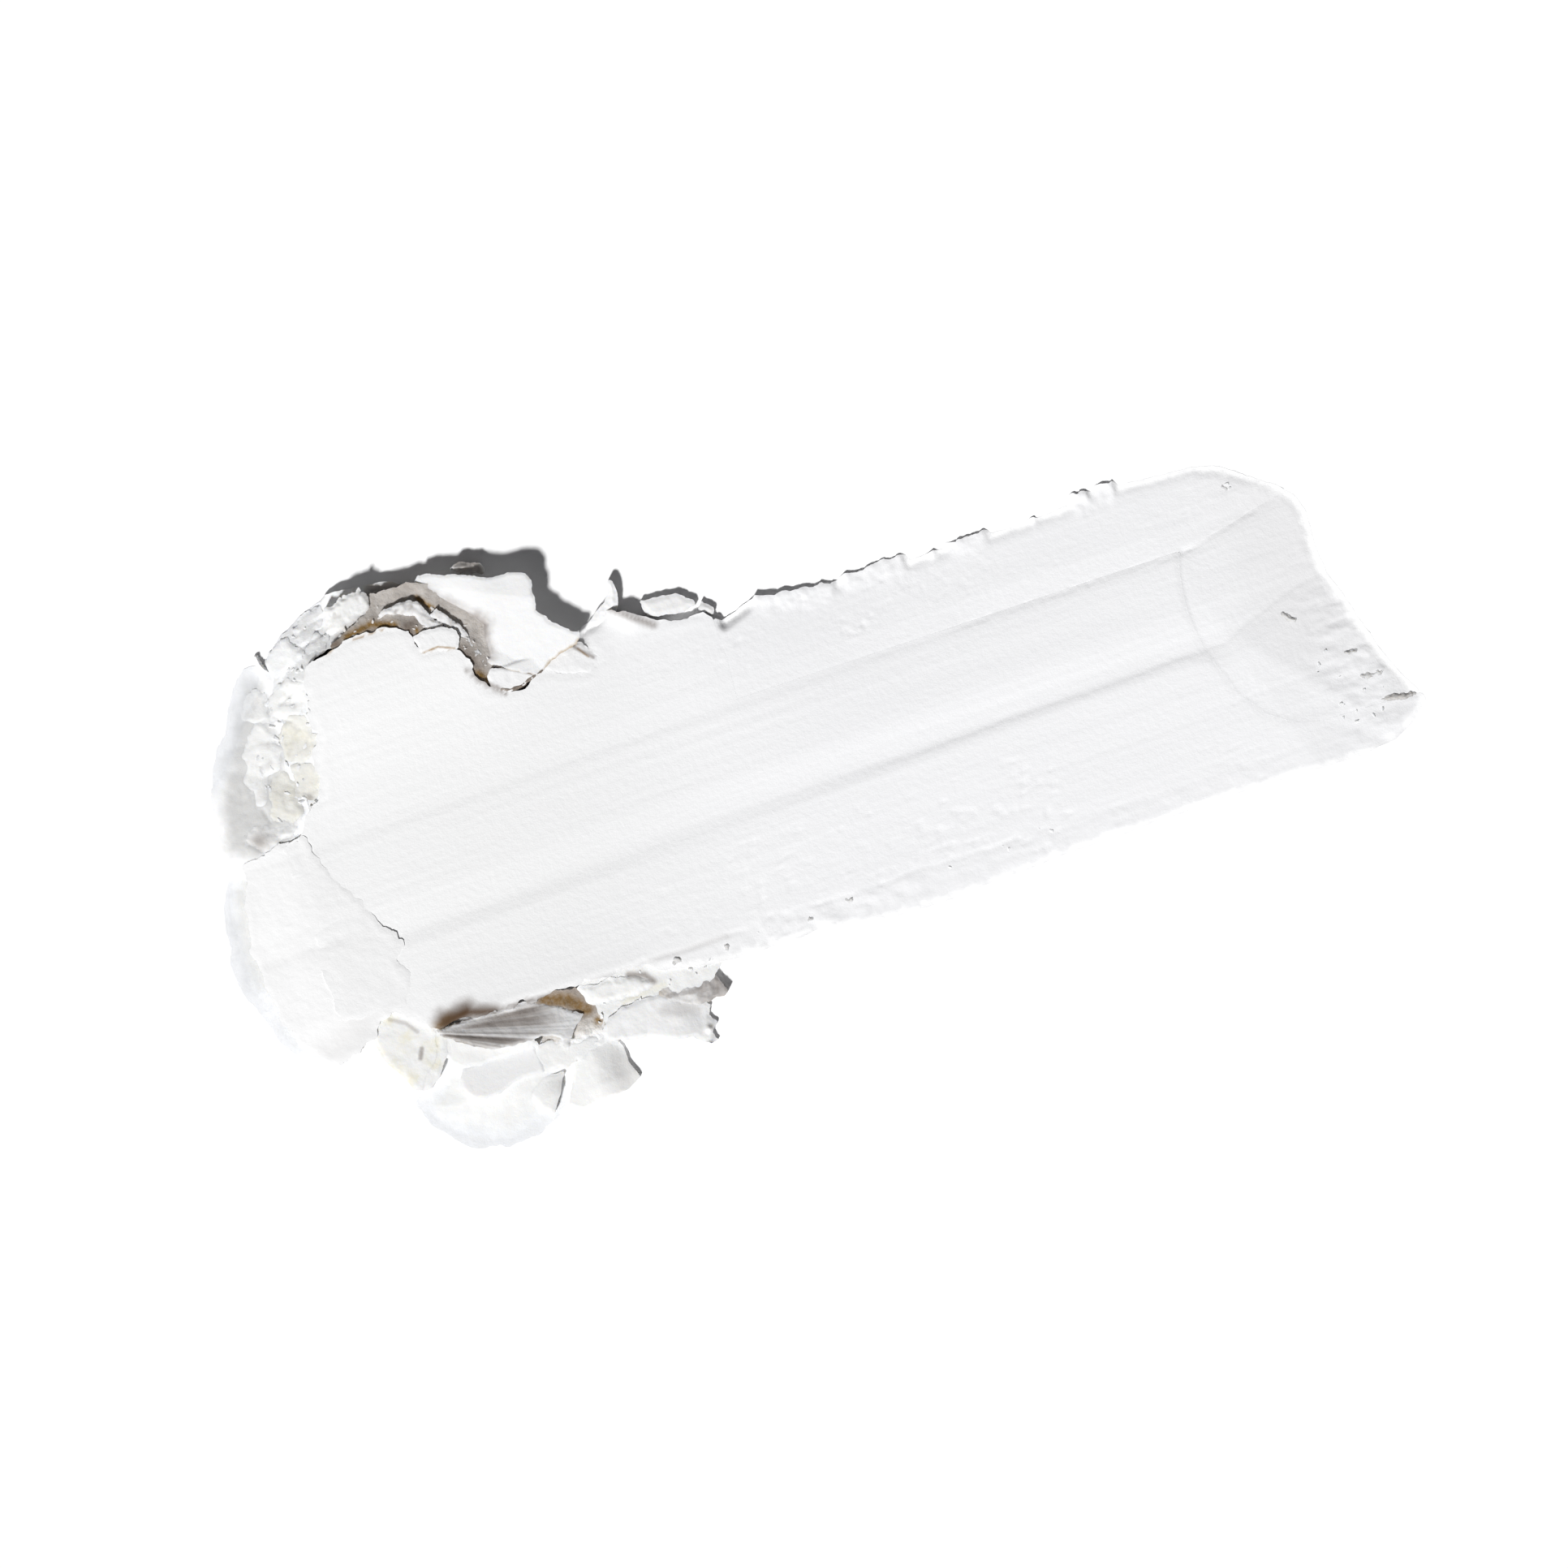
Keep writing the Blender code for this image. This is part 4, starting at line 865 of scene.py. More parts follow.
def raised_ridge_top(x, y, d):
    z = 3.1 + 0.05 * (x + 36.0) - 0.9 * ease(x - y, -58.0, -56.5) - worn(d, 0.25, 0.5)
    return z + 0.12 * noise(x, y, 1.1, 84, 4)


def spike_top(x, y, d):
    return np.minimum(0.3 + 2.0 * d, 0.9 + 0.12 * (y - 22.1)) + 0.08 * noise(x, y, 0.6, 85, 3)


def arch_top(x, y, d):
    z = 3.25 + 0.08 * (y - 22.0) - 0.08 * (x + 30.5) - worn(d, 0.15, 0.3)
    return z + 0.12 * noise(x, y, 0.8, 86, 3)


def arch_under(x, y, d):
    return arch_top(x, y, d) - 0.35 - 0.3 * ease(d, 0.0, 0.5)


def arch_soak(x, y, d):
    return 0.12 + 0.35 * ease(noise(x, y, 0.9, 87, 3), 0.0, 0.8)


paste_piece("ridge_chunk_4", bank_chalk, "bank_chalk", raised_ridge_top, ragged=0.25, lump=0.8, cell=0.1,
            soak_and_painted_shade=ridge_painted_shade_and_specks, outline=[
                (-38.4, 23.0), (-37.8, 25.2), (-36.2, 25.7), (-34.4, 26.0), (-33.7, 25.0), (-33.9, 24.0),
                (-34.6, 23.3), (-36.4, 22.4)])
paste_piece("spike_flake", flake_chalk, "flake_chalk", spike_top, ragged=0.1, lump=0.6, cell=0.08, outline=[
    (-45.6, 23.3), (-45.3, 23.1), (-45.0, 22.0), (-44.4, 21.2), (-44.7, 20.9), (-45.3, 21.5), (-45.6, 22.4)])
paste_piece("arch_chip", flake_chalk, "flake_chalk", arch_top, arch_under, ragged=0.15, lump=0.5, cell=0.08,
            soak_and_painted_shade=arch_soak, outline=[
                (-34.0, 22.9), (-33.0, 23.2), (-31.3, 23.5), (-30.3, 23.4), (-29.6, 23.0), (-29.2, 22.0),
                (-28.7, 21.0), (-28.0, 20.5), (-28.2, 19.8), (-29.4, 20.0), (-30.0, 20.9), (-30.3, 21.9),
                (-31.5, 22.4), (-32.6, 22.8)])


def inner_flake_top(x, y, d):
    return 2.7 + 0.12 * (y - 19.0) - worn(d, 0.1, 0.2) + 0.1 * noise(x, y, 0.7, 88, 3)


paste_piece("inner_flake", flake_chalk, "flake_chalk", inner_flake_top, ragged=0.12, lump=0.5, cell=0.08,
            soak_and_painted_shade=arch_soak, outline=[
                (-28.9, 21.5), (-28.2, 21.9), (-27.1, 20.6), (-26.3, 19.2), (-25.9, 17.5), (-25.4, 16.1),
                (-25.9, 15.7), (-26.4, 17.0), (-26.9, 18.6), (-27.7, 19.9)])


# ---------------------------------------------------------------- torn plate and the chips round it
# A skin that tore off the upper edge and tipped up. It rises out of the crevice beside the slab and then
# lies level, clear of the board along its far side. Small chips are left along both its ends.

PLATE_BEND = [(-28.3, 23.6), (-26.4, 21.8), (-24.6, 20.2), (-23.9, 19.1), (-24.6, 17.9), (-24.7, 16.0)]
PLATE_EDGE = [
    (-28.9, 25.5), (-26.6, 24.7), (-24.4, 23.9), (-22.1, 22.9), (-20.9, 23.0), (-19.3, 22.4), (-19.1, 21.5),
    (-19.3, 20.1), (-19.6, 18.9), (-18.5, 17.4), (-16.3, 15.6), (-16.9, 14.6), (-18.2, 14.5), (-19.7, 14.0),
    (-21.3, 12.9), (-22.6, 13.7), (-24.9, 15.2), (-25.8, 16.6), (-25.6, 18.2), (-26.6, 20.4), (-28.0, 22.2),
    (-29.6, 23.9), (-29.8, 24.4)]


def past_bend(x, y, least=0.0):
    """How far a place on the plate lies past its bend, towards the crevice, but least at least."""
    bend = np.array(PLATE_BEND) + OFF_CENTRE
    beyond = distance_in(x, y, np.vstack([bend, [(-33.0, 15.0)], [(-33.0, 24.0)]]))
    return np.clip(beyond, least, 4.0)


def plate_level(x, y):
    """The face of the plate: up from the slab's edge, then level, and down into the crevice past its bend."""
    up = ((x + 21.0) + (y - 14.0)) / 7.0
    z = 1.97 - 0.1 * (x + 21.0) + 1.3 * np.clip(up, 0.0, 1.4)
    z = np.minimum(z, 3.3) - 0.9 * ease(x, -23.0, -29.0)
    beside = np.minimum(pressed_face(x, y) + 0.1, 2.4)
    z = np.maximum(z, beside * ease(y, 16.5, 15.0)) - 1.5 * past_bend(x, y) ** 1.1
    return np.maximum(z, 0.5) + 0.04 * noise(x, y, 3.0, 91, 3) + 0.012 * noise(x, y, 0.7, 92, 3)


def plate_top(x, y, d):
    return plate_level(x, y) - worn(d, 0.1, 0.3)


def plate_under(x, y, d):
    return np.maximum(plate_level(x, y) - 0.3 - 0.35 * ease(d, 0.0, 1.5), 0.1)


# painted shade in brown on the plate past its bend, going down into the crevice in the slab's shade
def plate_painted_shade(x, y, d):
    return 0.9 * ease(past_bend(x, y, -2.0) + 0.25 * noise(x, y, 1.0, 93, 3), -0.9, 1.1)


def plate_stain(x, y, d):
    return 0.8 * ease(d, 0.4, 0.0) * ease(y, 16.0, 15.2)


paste_piece("torn_plate", flake_chalk, "flake_chalk", plate_top, plate_under, ragged=0.16, lump=0.9, cell=0.1,
            outline=PLATE_EDGE, stain=plate_stain, soak_and_painted_shade=plate_painted_shade)


def level_top(x, y, d):
    """The chips left in the slab's edge lie level with its face."""
    return pressed_face(x, y) + 0.05 - worn(d, 0.07, 0.3) + 0.03 * noise(x, y, 0.8, 95, 3)


for name in ("lip_chip", "root_chip", "peak_chip"):
    paste_piece(name, set_chalk, "set_chalk", level_top, ragged=0.15, lump=0.8, cell=0.09, grow=0.4,
                stain=ochre, soak_and_painted_shade=painted_shade_and_cracks)

CHIPS = {
    # node: level, edge rounding, roughness, raggedness, brown (painted shade on back_chip and hollow_chip),
    # slot
    "back_chip": (plane(2.0, -23.9, 24.9, -0.1, 0.1), 0.2, 0.25, 0.25, 0.55, "bank_chalk"),
    "upright_chip": (plane(1.0, -14.0, 16.8, 0.12, 0.14), 0.2, 0.1, 0.1, 0.0, "flake_chalk"),
    "notch_flake": (plane(0.9, -7.6, 15.8, 0.0, 0.0), 0.1, 0.04, 0.12, 0.03, "flake_chalk"),
    "edge_curl": (plane(0.8, -4.2, 14.5, 0.0, 0.0), 0.15, 0.08, 0.15, 0.1, "flake_chalk"),
    "hollow_chip": (plane(1.15, -27.0, -19.2, 0.0, 0.0), 0.2, 0.08, 0.2, 0.3, "stained_chalk"),
}
SLOT_CHALK = {"set_chalk": set_chalk, "bank_chalk": bank_chalk, "flake_chalk": flake_chalk,
              "stained_chalk": stained_chalk}
# the outlines of the two that don't keep to their solids' outlines
OWN_EDGES = {
    "notch_flake": [(-10.1, 16.6), (-8.0, 16.4), (-6.8, 16.2), (-6.2, 15.8), (-5.6, 15.2), (-5.5, 14.7),
                    (-6.5, 14.5), (-9.5, 15.0), (-10.0, 15.6)],
    "upright_chip": [(-15.3, 16.2), (-14.5, 16.9), (-13.3, 17.5), (-12.6, 18.6), (-12.4, 19.4), (-12.0, 19.2),
                     (-11.9, 18.0), (-12.2, 17.0), (-13.0, 16.0), (-14.5, 15.6)],
}
for name, (level, rounding, rough, ragged, brown, slot) in CHIPS.items():

    def chip_top(x, y, d, level=level, rounding=rounding, rough=rough):
        return level(x, y) - worn(d, rounding, 0.5) + rough * noise(x, y, 0.9, 95, 4)

    def chip_tone_and_painted_shade(x, y, d, brown=brown):
        return brown * ease(noise(x, y, 1.0, 96, 3), -0.6, 0.4)

    paste_piece(name, SLOT_CHALK[slot], slot, chip_top, ragged=ragged, lump=0.8, cell=0.1, grow=0.05,
                soak_and_painted_shade=chip_tone_and_painted_shade, outline=OWN_EDGES.get(name))


# ---------------------------------------------------------------- flakes of the lower edge
# The lower corner of the blade tore the edge up. The feather flake stands out of the slab with its grooved
# face falling back towards it; the rest lie over each other on the lower bank or on the board.

WHITE_EDGE = [
    (-41.0, -15.2), (-39.8, -15.2), (-37.5, -16.8), (-34.0, -17.8), (-32.0, -18.0), (-32.0, -19.2),
    (-36.0, -19.2), (-38.8, -19.2), (-40.0, -18.4), (-40.8, -17.0)]
FEATHER_EDGE = [
    (-40.6, -14.9), (-38.0, -14.8), (-35.0, -14.9), (-32.0, -15.0), (-31.3, -15.2), (-30.0, -15.9),
    (-28.5, -16.9), (-27.2, -17.8), (-28.0, -18.5), (-29.0, -19.5), (-29.3, -20.2), (-29.8, -20.0),
    (-29.9, -19.2), (-30.5, -18.8), (-31.5, -18.5), (-34.0, -18.5), (-36.0, -18.2), (-37.5, -17.5),
    (-39.0, -16.5), (-40.2, -15.5)]
HOLLOW_EDGE = [
    (-31.6, -14.7), (-29.0, -14.9), (-27.2, -15.3), (-26.2, -16.3), (-25.9, -17.4), (-25.4, -18.6),
    (-25.8, -20.4), (-28.4, -21.2), (-32.0, -20.6), (-31.5, -18.6), (-30.5, -16.5)]
PETAL_EDGE = [
    (-39.9, -20.0), (-40.0, -20.6), (-39.7, -21.4), (-39.2, -22.0), (-38.3, -22.4), (-37.0, -22.4),
    (-35.5, -21.9), (-34.3, -21.6), (-33.0, -21.7), (-32.4, -21.8), (-32.1, -21.2), (-32.2, -20.3),
    (-32.3, -19.3), (-32.5, -18.5), (-36.0, -18.2), (-38.5, -18.8), (-39.3, -19.2)]
SHELF_EDGE = [
    (-26.2, -19.9), (-25.0, -18.9), (-23.5, -18.3), (-21.0, -18.2), (-18.5, -18.8), (-16.2, -20.0),
    (-15.8, -20.8), (-16.2, -21.6), (-15.8, -22.4), (-16.3, -23.2), (-16.2, -24.0), (-16.8, -24.3),
    (-17.4, -23.8), (-18.4, -23.1), (-19.6, -22.9), (-21.0, -22.3), (-22.0, -21.8), (-23.5, -21.5),
    (-25.0, -21.2), (-26.0, -20.8)]
TAIL_EDGE = [
    (-21.0, -17.5), (-19.5, -17.4), (-17.5, -17.9), (-15.8, -18.2), (-14.9, -18.0), (-14.5, -18.2),
    (-13.9, -20.0), (-14.3, -20.3), (-15.8, -20.4), (-17.5, -20.2), (-19.0, -19.4), (-20.6, -18.5)]
CURL_EDGE = [
    (-35.2, -21.9), (-33.0, -21.9), (-31.5, -22.2), (-30.5, -22.3), (-31.1, -23.1), (-31.5, -24.1),
    (-32.6, -25.7), (-33.4, -25.0), (-34.2, -23.6)]
SECOND_EDGE = [
    (-30.0, -21.5), (-28.0, -20.3), (-25.5, -20.4), (-24.6, -21.8), (-24.6, -23.3), (-24.3, -24.2),
    (-24.1, -25.0), (-25.4, -25.7), (-27.5, -26.0), (-30.0, -26.2), (-31.2, -25.4), (-30.4, -24.0),
    (-29.9, -22.6)]


def feather_fan(x, y):
    """The angle round the left tip of the feather flake, from which its grooves spread."""
    return np.arctan2(y + 14.2, x + 42.0)


def feather_level(x, y):
    """A sheet that falls away from its lower left edge, grooved in a fan from its left tip."""
    fan = feather_fan(x, y)
    ribs = noise(fan * 26.0, 0.0 * x, 0.9, 101, 3)
    inward = np.maximum((x + 40.7) * 0.351 + (y + 14.9) * 0.9375 + 3.2, 0.0)
    steep = 0.38 + 0.08 * ease(x, -30.0, -38.0)
    ridge = 4.3 - 0.9 * ease(x, -41.0, -29.0)
    return ridge - steep * inward + 0.06 * ribs + 0.04 * noise(x, y, 0.8, 102, 3)


def feather_top(x, y, d):
    return feather_level(x, y) - worn(d, 0.1, 0.25)


def feather_under(x, y, d):
    return feather_level(x, y) - 0.3 - 0.3 * ease(d, 0.0, 1.0)


def feather_painted_shade(x, y, d):
    """Painted shade in brown streaks along the grooves, in the middle of the sheet."""
    streak = ease(noise(feather_fan(x, y) * 20.0, 0.05 * x, 1.1, 103, 3), -0.4, 0.7)
    return (0.2 + 0.5 * streak) * ease(y, -18.9, -17.4) * ease(x, -28.0, -32.0) * ease(y, -14.7, -15.5)


def hollow_top(x, y, d):
    return 0.95 + 0.3 * ease(y, -17.5, -19.5) + 0.12 * noise(x, y, 0.9, 106, 4)


def hollow_stain(x, y, d):
    along = brush(x, y, [(-29.8, -15.2), (-27.9, -15.8), (-26.5, -17.2)], 1.3, 0.2)
    return 0.95 * np.maximum(along, blots(x, y, (-25.8, -18.5, 0.6)))


# painted shade in brown: dark along the feather flake's edge and over the deep end of the hollow
def hollow_painted_shade(x, y, d):
    dark = 0.75 * brush(x, y, [(-31.0, -15.3), (-29.7, -15.9), (-26.9, -17.6)], 0.8, 0.1)
    deep = 0.7 * ease(y, -18.9, -17.2)
    return np.maximum(dark, deep) * (1 - 0.4 * hollow_stain(x, y, d))


def hollow_film(x, y, d):
    return 0.9 * ease(y, -18.9, -19.8)


paste_piece("feather_flake", flake_chalk, "flake_chalk", feather_top, feather_under, ragged=0.12, lump=0.7,
            cell=0.08, outline=FEATHER_EDGE, soak_and_painted_shade=feather_painted_shade)
paste_piece("hollow_floor", floor_paste, "stained_chalk", hollow_top, ragged=0.12, lump=0.7, cell=0.1,
            outline=HOLLOW_EDGE, stain=hollow_stain, soak_and_painted_shade=hollow_painted_shade, film_and_painted_light=hollow_film)


def curl_level(x, y):
    """Low on the bank, and drawn up along the curl's right edge."""
    inward = from_line(x, y, [(-30.2, -22.0), (-32.3, -25.4)])
    return 0.8 + 0.6 * ease(inward, 2.6, 0.3) * ease(y, -21.7, -24.0)


STRIP_EDGE = [(-32.6, -19.0), (-29.6, -19.4), (-28.9, -20.0), (-26.0, -20.0), (-25.6, -20.8), (-28.4, -21.6),
              (-30.4, -22.0), (-32.4, -21.6)]
SHEETS = {
    # node: level, thickness at the rim, relief, raggedness, slot, outline
    "white_wedge": (plane(1.8, -39.0, -17.3, 0.04, 0.04), 1.2, 0.06, 0.25, "bank_chalk", WHITE_EDGE),
    "petal_flake": (plane(1.6, -35.9, -20.3, -0.06, -0.06), 0.9, 0.02, 0.08, "flake_chalk", PETAL_EDGE),
    "fold_strip": (plane(1.35, -29.9, -20.5, 0.0, 0.0), 0.9, 0.05, 0.25, "bank_chalk", STRIP_EDGE),
    "lower_curl": (curl_level, 1.1, 0.02, 0.08, "bank_chalk", CURL_EDGE),
}
for name, (level, thickness, relief, ragged, slot, outline) in SHEETS.items():

    def sheet_top(x, y, d, level=level, relief=relief):
        return level(x, y) - worn(d, 0.1, 0.3) + relief * noise(x, y, 1.5, 105, 4)

    def sheet_under(x, y, d, level=level, thickness=thickness):
        return level(x, y) - thickness - 0.2 * ease(d, 0.0, 0.8)

    paste_piece(name, SLOT_CHALK[slot], slot, sheet_top, sheet_under, ragged=ragged, lump=1.0, cell=0.1,
                outline=outline)


def second_curl_top(x, y, d):
    bulge = 0.5 * ease(x, -30.8, -27.2) * ease(y, -26.5, -24.0)
    z = 0.8 + bulge - 0.75 * ease(x, -27.4, -24.2) - 0.3 * ease(y, -23.0, -21.0) * ease(x, -26.0, -24.5)
    return np.minimum(z, 0.5 + 1.6 * d) + 0.04 * noise(x, y, 1.2, 111, 4)


# painted shade, a little brown, on the face that falls to the curl's right edge
def second_curl_painted_shade(x, y, d):
    return 0.12 * ease(x, -26.3, -25.6) * ease(y, -21.5, -22.6)


def shelf_top(x, y, d):
    z = plane(1.35, -21.0, -20.5, -0.045, -0.01)(x, y) - worn(d, 0.12, 0.4)
    stubs = blots(x, y, (-16.3, -22.5, 0.35), (-16.7, -23.9, 0.3))
    return z - 0.6 * ease(x, -19.0, -15.8) + 0.5 * stubs + 0.07 * noise(x, y, 1.6, 112, 4)


# painted shade, a little brown, inside the shelf's upper right edge
def shelf_painted_shade(x, y, d):
    return 0.2 * brush(x, y, [(-17.0, -20.3), (-19.5, -19.6)], 1.0, 0.2) * ease(d, 0.0, 0.5)


def tail_top(x, y, d):
    z = 1.2 - 0.15 * (y + 18.6) - 0.2 * ease(x, -16.0, -14.4) - worn(d, 0.1, 0.3)
    return z + 0.14 * noise(x, y, 0.9, 113, 4)


def tail_stain(x, y, d):
    return 0.6 * blots(x, y, (-19.6, -17.9, 1.0))


# painted shade in brown: all over the tail, more along a line and at its right end
def tail_painted_shade(x, y, d):
    end = 0.62 * ease(x, -16.9, -15.9)
    line = 0.5 * brush(x, y, [(-19.0, -18.4), (-16.2, -18.8)], 0.45, 0.1)
    return np.maximum.reduce([end, line, 0.22 + 0.0 * x]) * (0.8 + 0.25 * noise(x, y, 0.8, 118, 3))


def strip_top(x, y, d):
    return 1.4 + 0.05 * (y + 16.4) - worn(d, 0.2, 0.6) + 0.06 * noise(x, y, 1.0, 114, 4)


def bed_top(x, y, d):
    return beneath_slab(x, y, 1.15 + 0.02 * (y + 17.0) + 0.08 * noise(x, y, 1.4, 119, 4))


def bed_stain(x, y, d):
    return 0.5 * brush(x, y, [(-23.0, -17.6), (-19.0, -17.3)], 0.7)


def wedge_top(x, y, d):
    z = plane(1.9, -43.0, -16.0, 0.02, 0.03)(x, y) - worn(d, 0.12, 0.5)
    return beneath_slab(x, y, z + 0.05 * noise(x, y, 1.2, 115, 4))


def wedge_stain(x, y, d):
    return 0.6 * ease(noise(x, y, 1.6, 117, 3), -0.4, 0.8)


def wedge_soak(x, y, d):
    slit = 0.5 * brush(x, y, [(-42.0, -15.8), (-42.4, -16.6)], 0.35, 0.05)
    line = 0.3 * brush(x, y, [(-44.0, -12.3), (-42.7, -13.1), (-41.9, -14.2)], 0.3, 0.05)
    return np.maximum(slit, line)


paste_piece("second_curl", bank_chalk, "flake_chalk", second_curl_top, ragged=0.08, lump=0.8, cell=0.1,
            outline=SECOND_EDGE, soak_and_painted_shade=second_curl_painted_shade)
paste_piece("shelf_flake", flake_chalk, "flake_chalk", shelf_top, ragged=0.15, lump=0.8, cell=0.1,
            outline=SHELF_EDGE, soak_and_painted_shade=shelf_painted_shade)
paste_piece("tail_flake", flake_chalk, "flake_chalk", tail_top, ragged=0.15, lump=0.7, cell=0.09,
            outline=TAIL_EDGE, stain=tail_stain, soak_and_painted_shade=tail_painted_shade)
paste_piece("strip_flake", bank_chalk, "flake_chalk", strip_top, ragged=0.25, lump=0.9, cell=0.1, grow=0.25,
            soak_and_painted_shade=painted_shade_and_cracks)
paste_piece("lower_bed", bank_chalk, "bank_chalk", bed_top, ragged=0.2, lump=0.9, cell=0.12, stain=bed_stain,
            soak_and_painted_shade=painted_shade_and_cracks, outline=[
                (-26.9, -14.6), (-12.2, -14.6), (-12.4, -16.6), (-14.2, -18.0), (-16.0, -19.6),
                (-20.0, -19.2), (-24.5, -20.8), (-26.6, -20.8), (-25.6, -18.8)])
paste_piece("yellow_wedge", bank_chalk, "stained_chalk", wedge_top, ragged=0.15, lump=1.0, cell=0.1,
            stain=wedge_stain, soak_and_painted_shade=wedge_soak, outline=[
                (-46.2, -12.4), (-45.2, -11.0), (-43.0, -11.2), (-41.4, -13.4), (-40.2, -14.9),
                (-40.6, -16.5), (-41.5, -18.0), (-43.5, -19.9), (-44.2, -19.6), (-44.8, -18.2),
                (-45.9, -16.5), (-46.3, -14.5)])


def sliver_top(x, y, d):
    return wedge_top(x, y, d) - 0.03


paste_piece("wedge_sliver", bank_chalk, "stained_chalk", sliver_top, ragged=0.12, lump=0.8, cell=0.1,
            stain=wedge_stain, soak_and_painted_shade=wedge_soak, outline=[
                (-43.5, -19.9), (-42.3, -15.5), (-41.6, -13.6), (-39.9, -14.4), (-39.6, -15.6),
                (-40.4, -17.6), (-41.4, -18.8), (-42.6, -19.9)])


# ---------------------------------------------------------------- dragged crumbs
# Scraps that the blade picked up and set down again on the face of the layer, half pressed into it.

DRAGGED = {
    # the edge crumbs keep the outlines of their solids
    "edge_crumb_1": None, "edge_crumb_2": None, "edge_crumb_3": None, "edge_crumb_4": None,
    "heel_crumb_1": [(51.6, -13.5), (53.0, -13.5), (54.6, -13.8), (55.2, -14.2), (54.0, -14.3),
                     (52.4, -14.0)],
    "heel_crumb_2": [(50.6, -10.9), (52.9, -11.0), (52.9, -11.4), (51.2, -11.4)],
    "heel_crumb_3": [(49.9, -8.3), (51.3, -8.5), (51.2, -8.9), (50.2, -8.8)],
    "heel_crumb_4": [(45.6, -2.9), (46.0, -3.1), (46.4, -3.8), (46.8, -4.1), (46.6, -4.5), (46.0, -4.1),
                     (45.5, -3.4)],
    "heel_crumb_5": [(43.9, 9.9), (44.6, 9.7), (44.9, 9.2), (44.5, 9.1), (44.0, 9.5)],
}


def crumb_top(x, y, d):
    return pressed_face(x, y) + 0.16 * ease(d, 0.0, 0.3) + 0.08 * noise(x, y, 0.4, 130, 3)


def crumb_under(x, y, d):
    return pressed_face(x, y) - 0.1


for name, own in DRAGGED.items():
    paste_piece(name, bank_chalk, "bank_chalk", crumb_top, crumb_under, ragged=0.1 if own else 0.25, lump=0.5,
                cell=0.06, grow=0.0 if own else -0.22, soak_and_painted_shade=even(0.4 if name == "heel_crumb_1" else 0.25),
                outline=own)


# ---------------------------------------------------------------- loose crumbs
# Fine crumbs of the paste, left lying where it tore: over the rim and the ridge, in the crevice and the
# hollows, along the lower margin and at the corners of the heel.

CRUMB_SHAPE = (1.5, 0.8, 0.45)  # each crumb is flat and longer than it is wide
CRUMB_TURN = (0.6, 0.6, 6.28)  # radians: any way round, and tipped a little
GROUND_CELL = 0.3


def crumb_nodes():
    """Scatters crumbs over the surface it is given: Density, Seed, Smallest and Largest size, Material."""
    tree = bpy.data.node_groups.new("loose_crumbs", "GeometryNodeTree")
    face = tree.interface
    face.new_socket("Ground", in_out="INPUT", socket_type="NodeSocketGeometry")
    for label, kind in (("Density", "Float"), ("Seed", "Int"), ("Smallest", "Float"), ("Largest", "Float"),
                        ("Material", "Material")):
        face.new_socket(label, in_out="INPUT", socket_type="NodeSocket" + kind)
    face.new_socket("Crumbs", in_out="OUTPUT", socket_type="NodeSocketGeometry")
    given = node(tree, "NodeGroupInput").outputs
    spots = node(tree, "GeometryNodeDistributePointsOnFaces", {"distribute_method": "RANDOM"},
                 {"Mesh": given["Ground"], "Density": given["Density"], "Seed": given["Seed"]})
    ball = node(tree, "GeometryNodeMeshIcoSphere", {"Radius": 0.5, "Subdivisions": 2})
    lumps = node(tree, "ShaderNodeTexNoise", {"Scale": 1.6, "Detail": 2.0})
    centred = node(tree, "ShaderNodeVectorMath", {"operation": "SUBTRACT", 1: (0.5, 0.5, 0.5)},
                   {0: lumps.outputs["Color"]})
    crumb = node(tree, "GeometryNodeSetPosition", links={
        "Geometry": ball.outputs["Mesh"], "Offset": centred.outputs["Vector"]})
    turn = node(tree, "FunctionNodeRandomValue", {"data_type": "FLOAT_VECTOR", "Max": CRUMB_TURN},
                {"Seed": given["Seed"]})
    size = node(tree, "FunctionNodeRandomValue", {"data_type": "FLOAT"}, {
        2: given["Smallest"], 3: given["Largest"], "Seed": given["Seed"]})
    flat = node(tree, "ShaderNodeVectorMath", {"operation": "SCALE", 0: CRUMB_SHAPE},
                {"Scale": size.outputs[1]})
    put = node(tree, "GeometryNodeInstanceOnPoints", links={
        "Points": spots.outputs["Points"], "Instance": crumb.outputs["Geometry"],
        "Rotation": turn.outputs["Value"], "Scale": flat.outputs["Vector"]})
    real = node(tree, "GeometryNodeRealizeInstances", links={"Geometry": put.outputs["Instances"]})
    painted = node(tree, "GeometryNodeSetMaterial", links={
        "Geometry": real.outputs["Geometry"], "Material": given["Material"]})
    node(tree, "NodeGroupOutput", links={"Crumbs": painted.outputs["Geometry"]})
    return tree


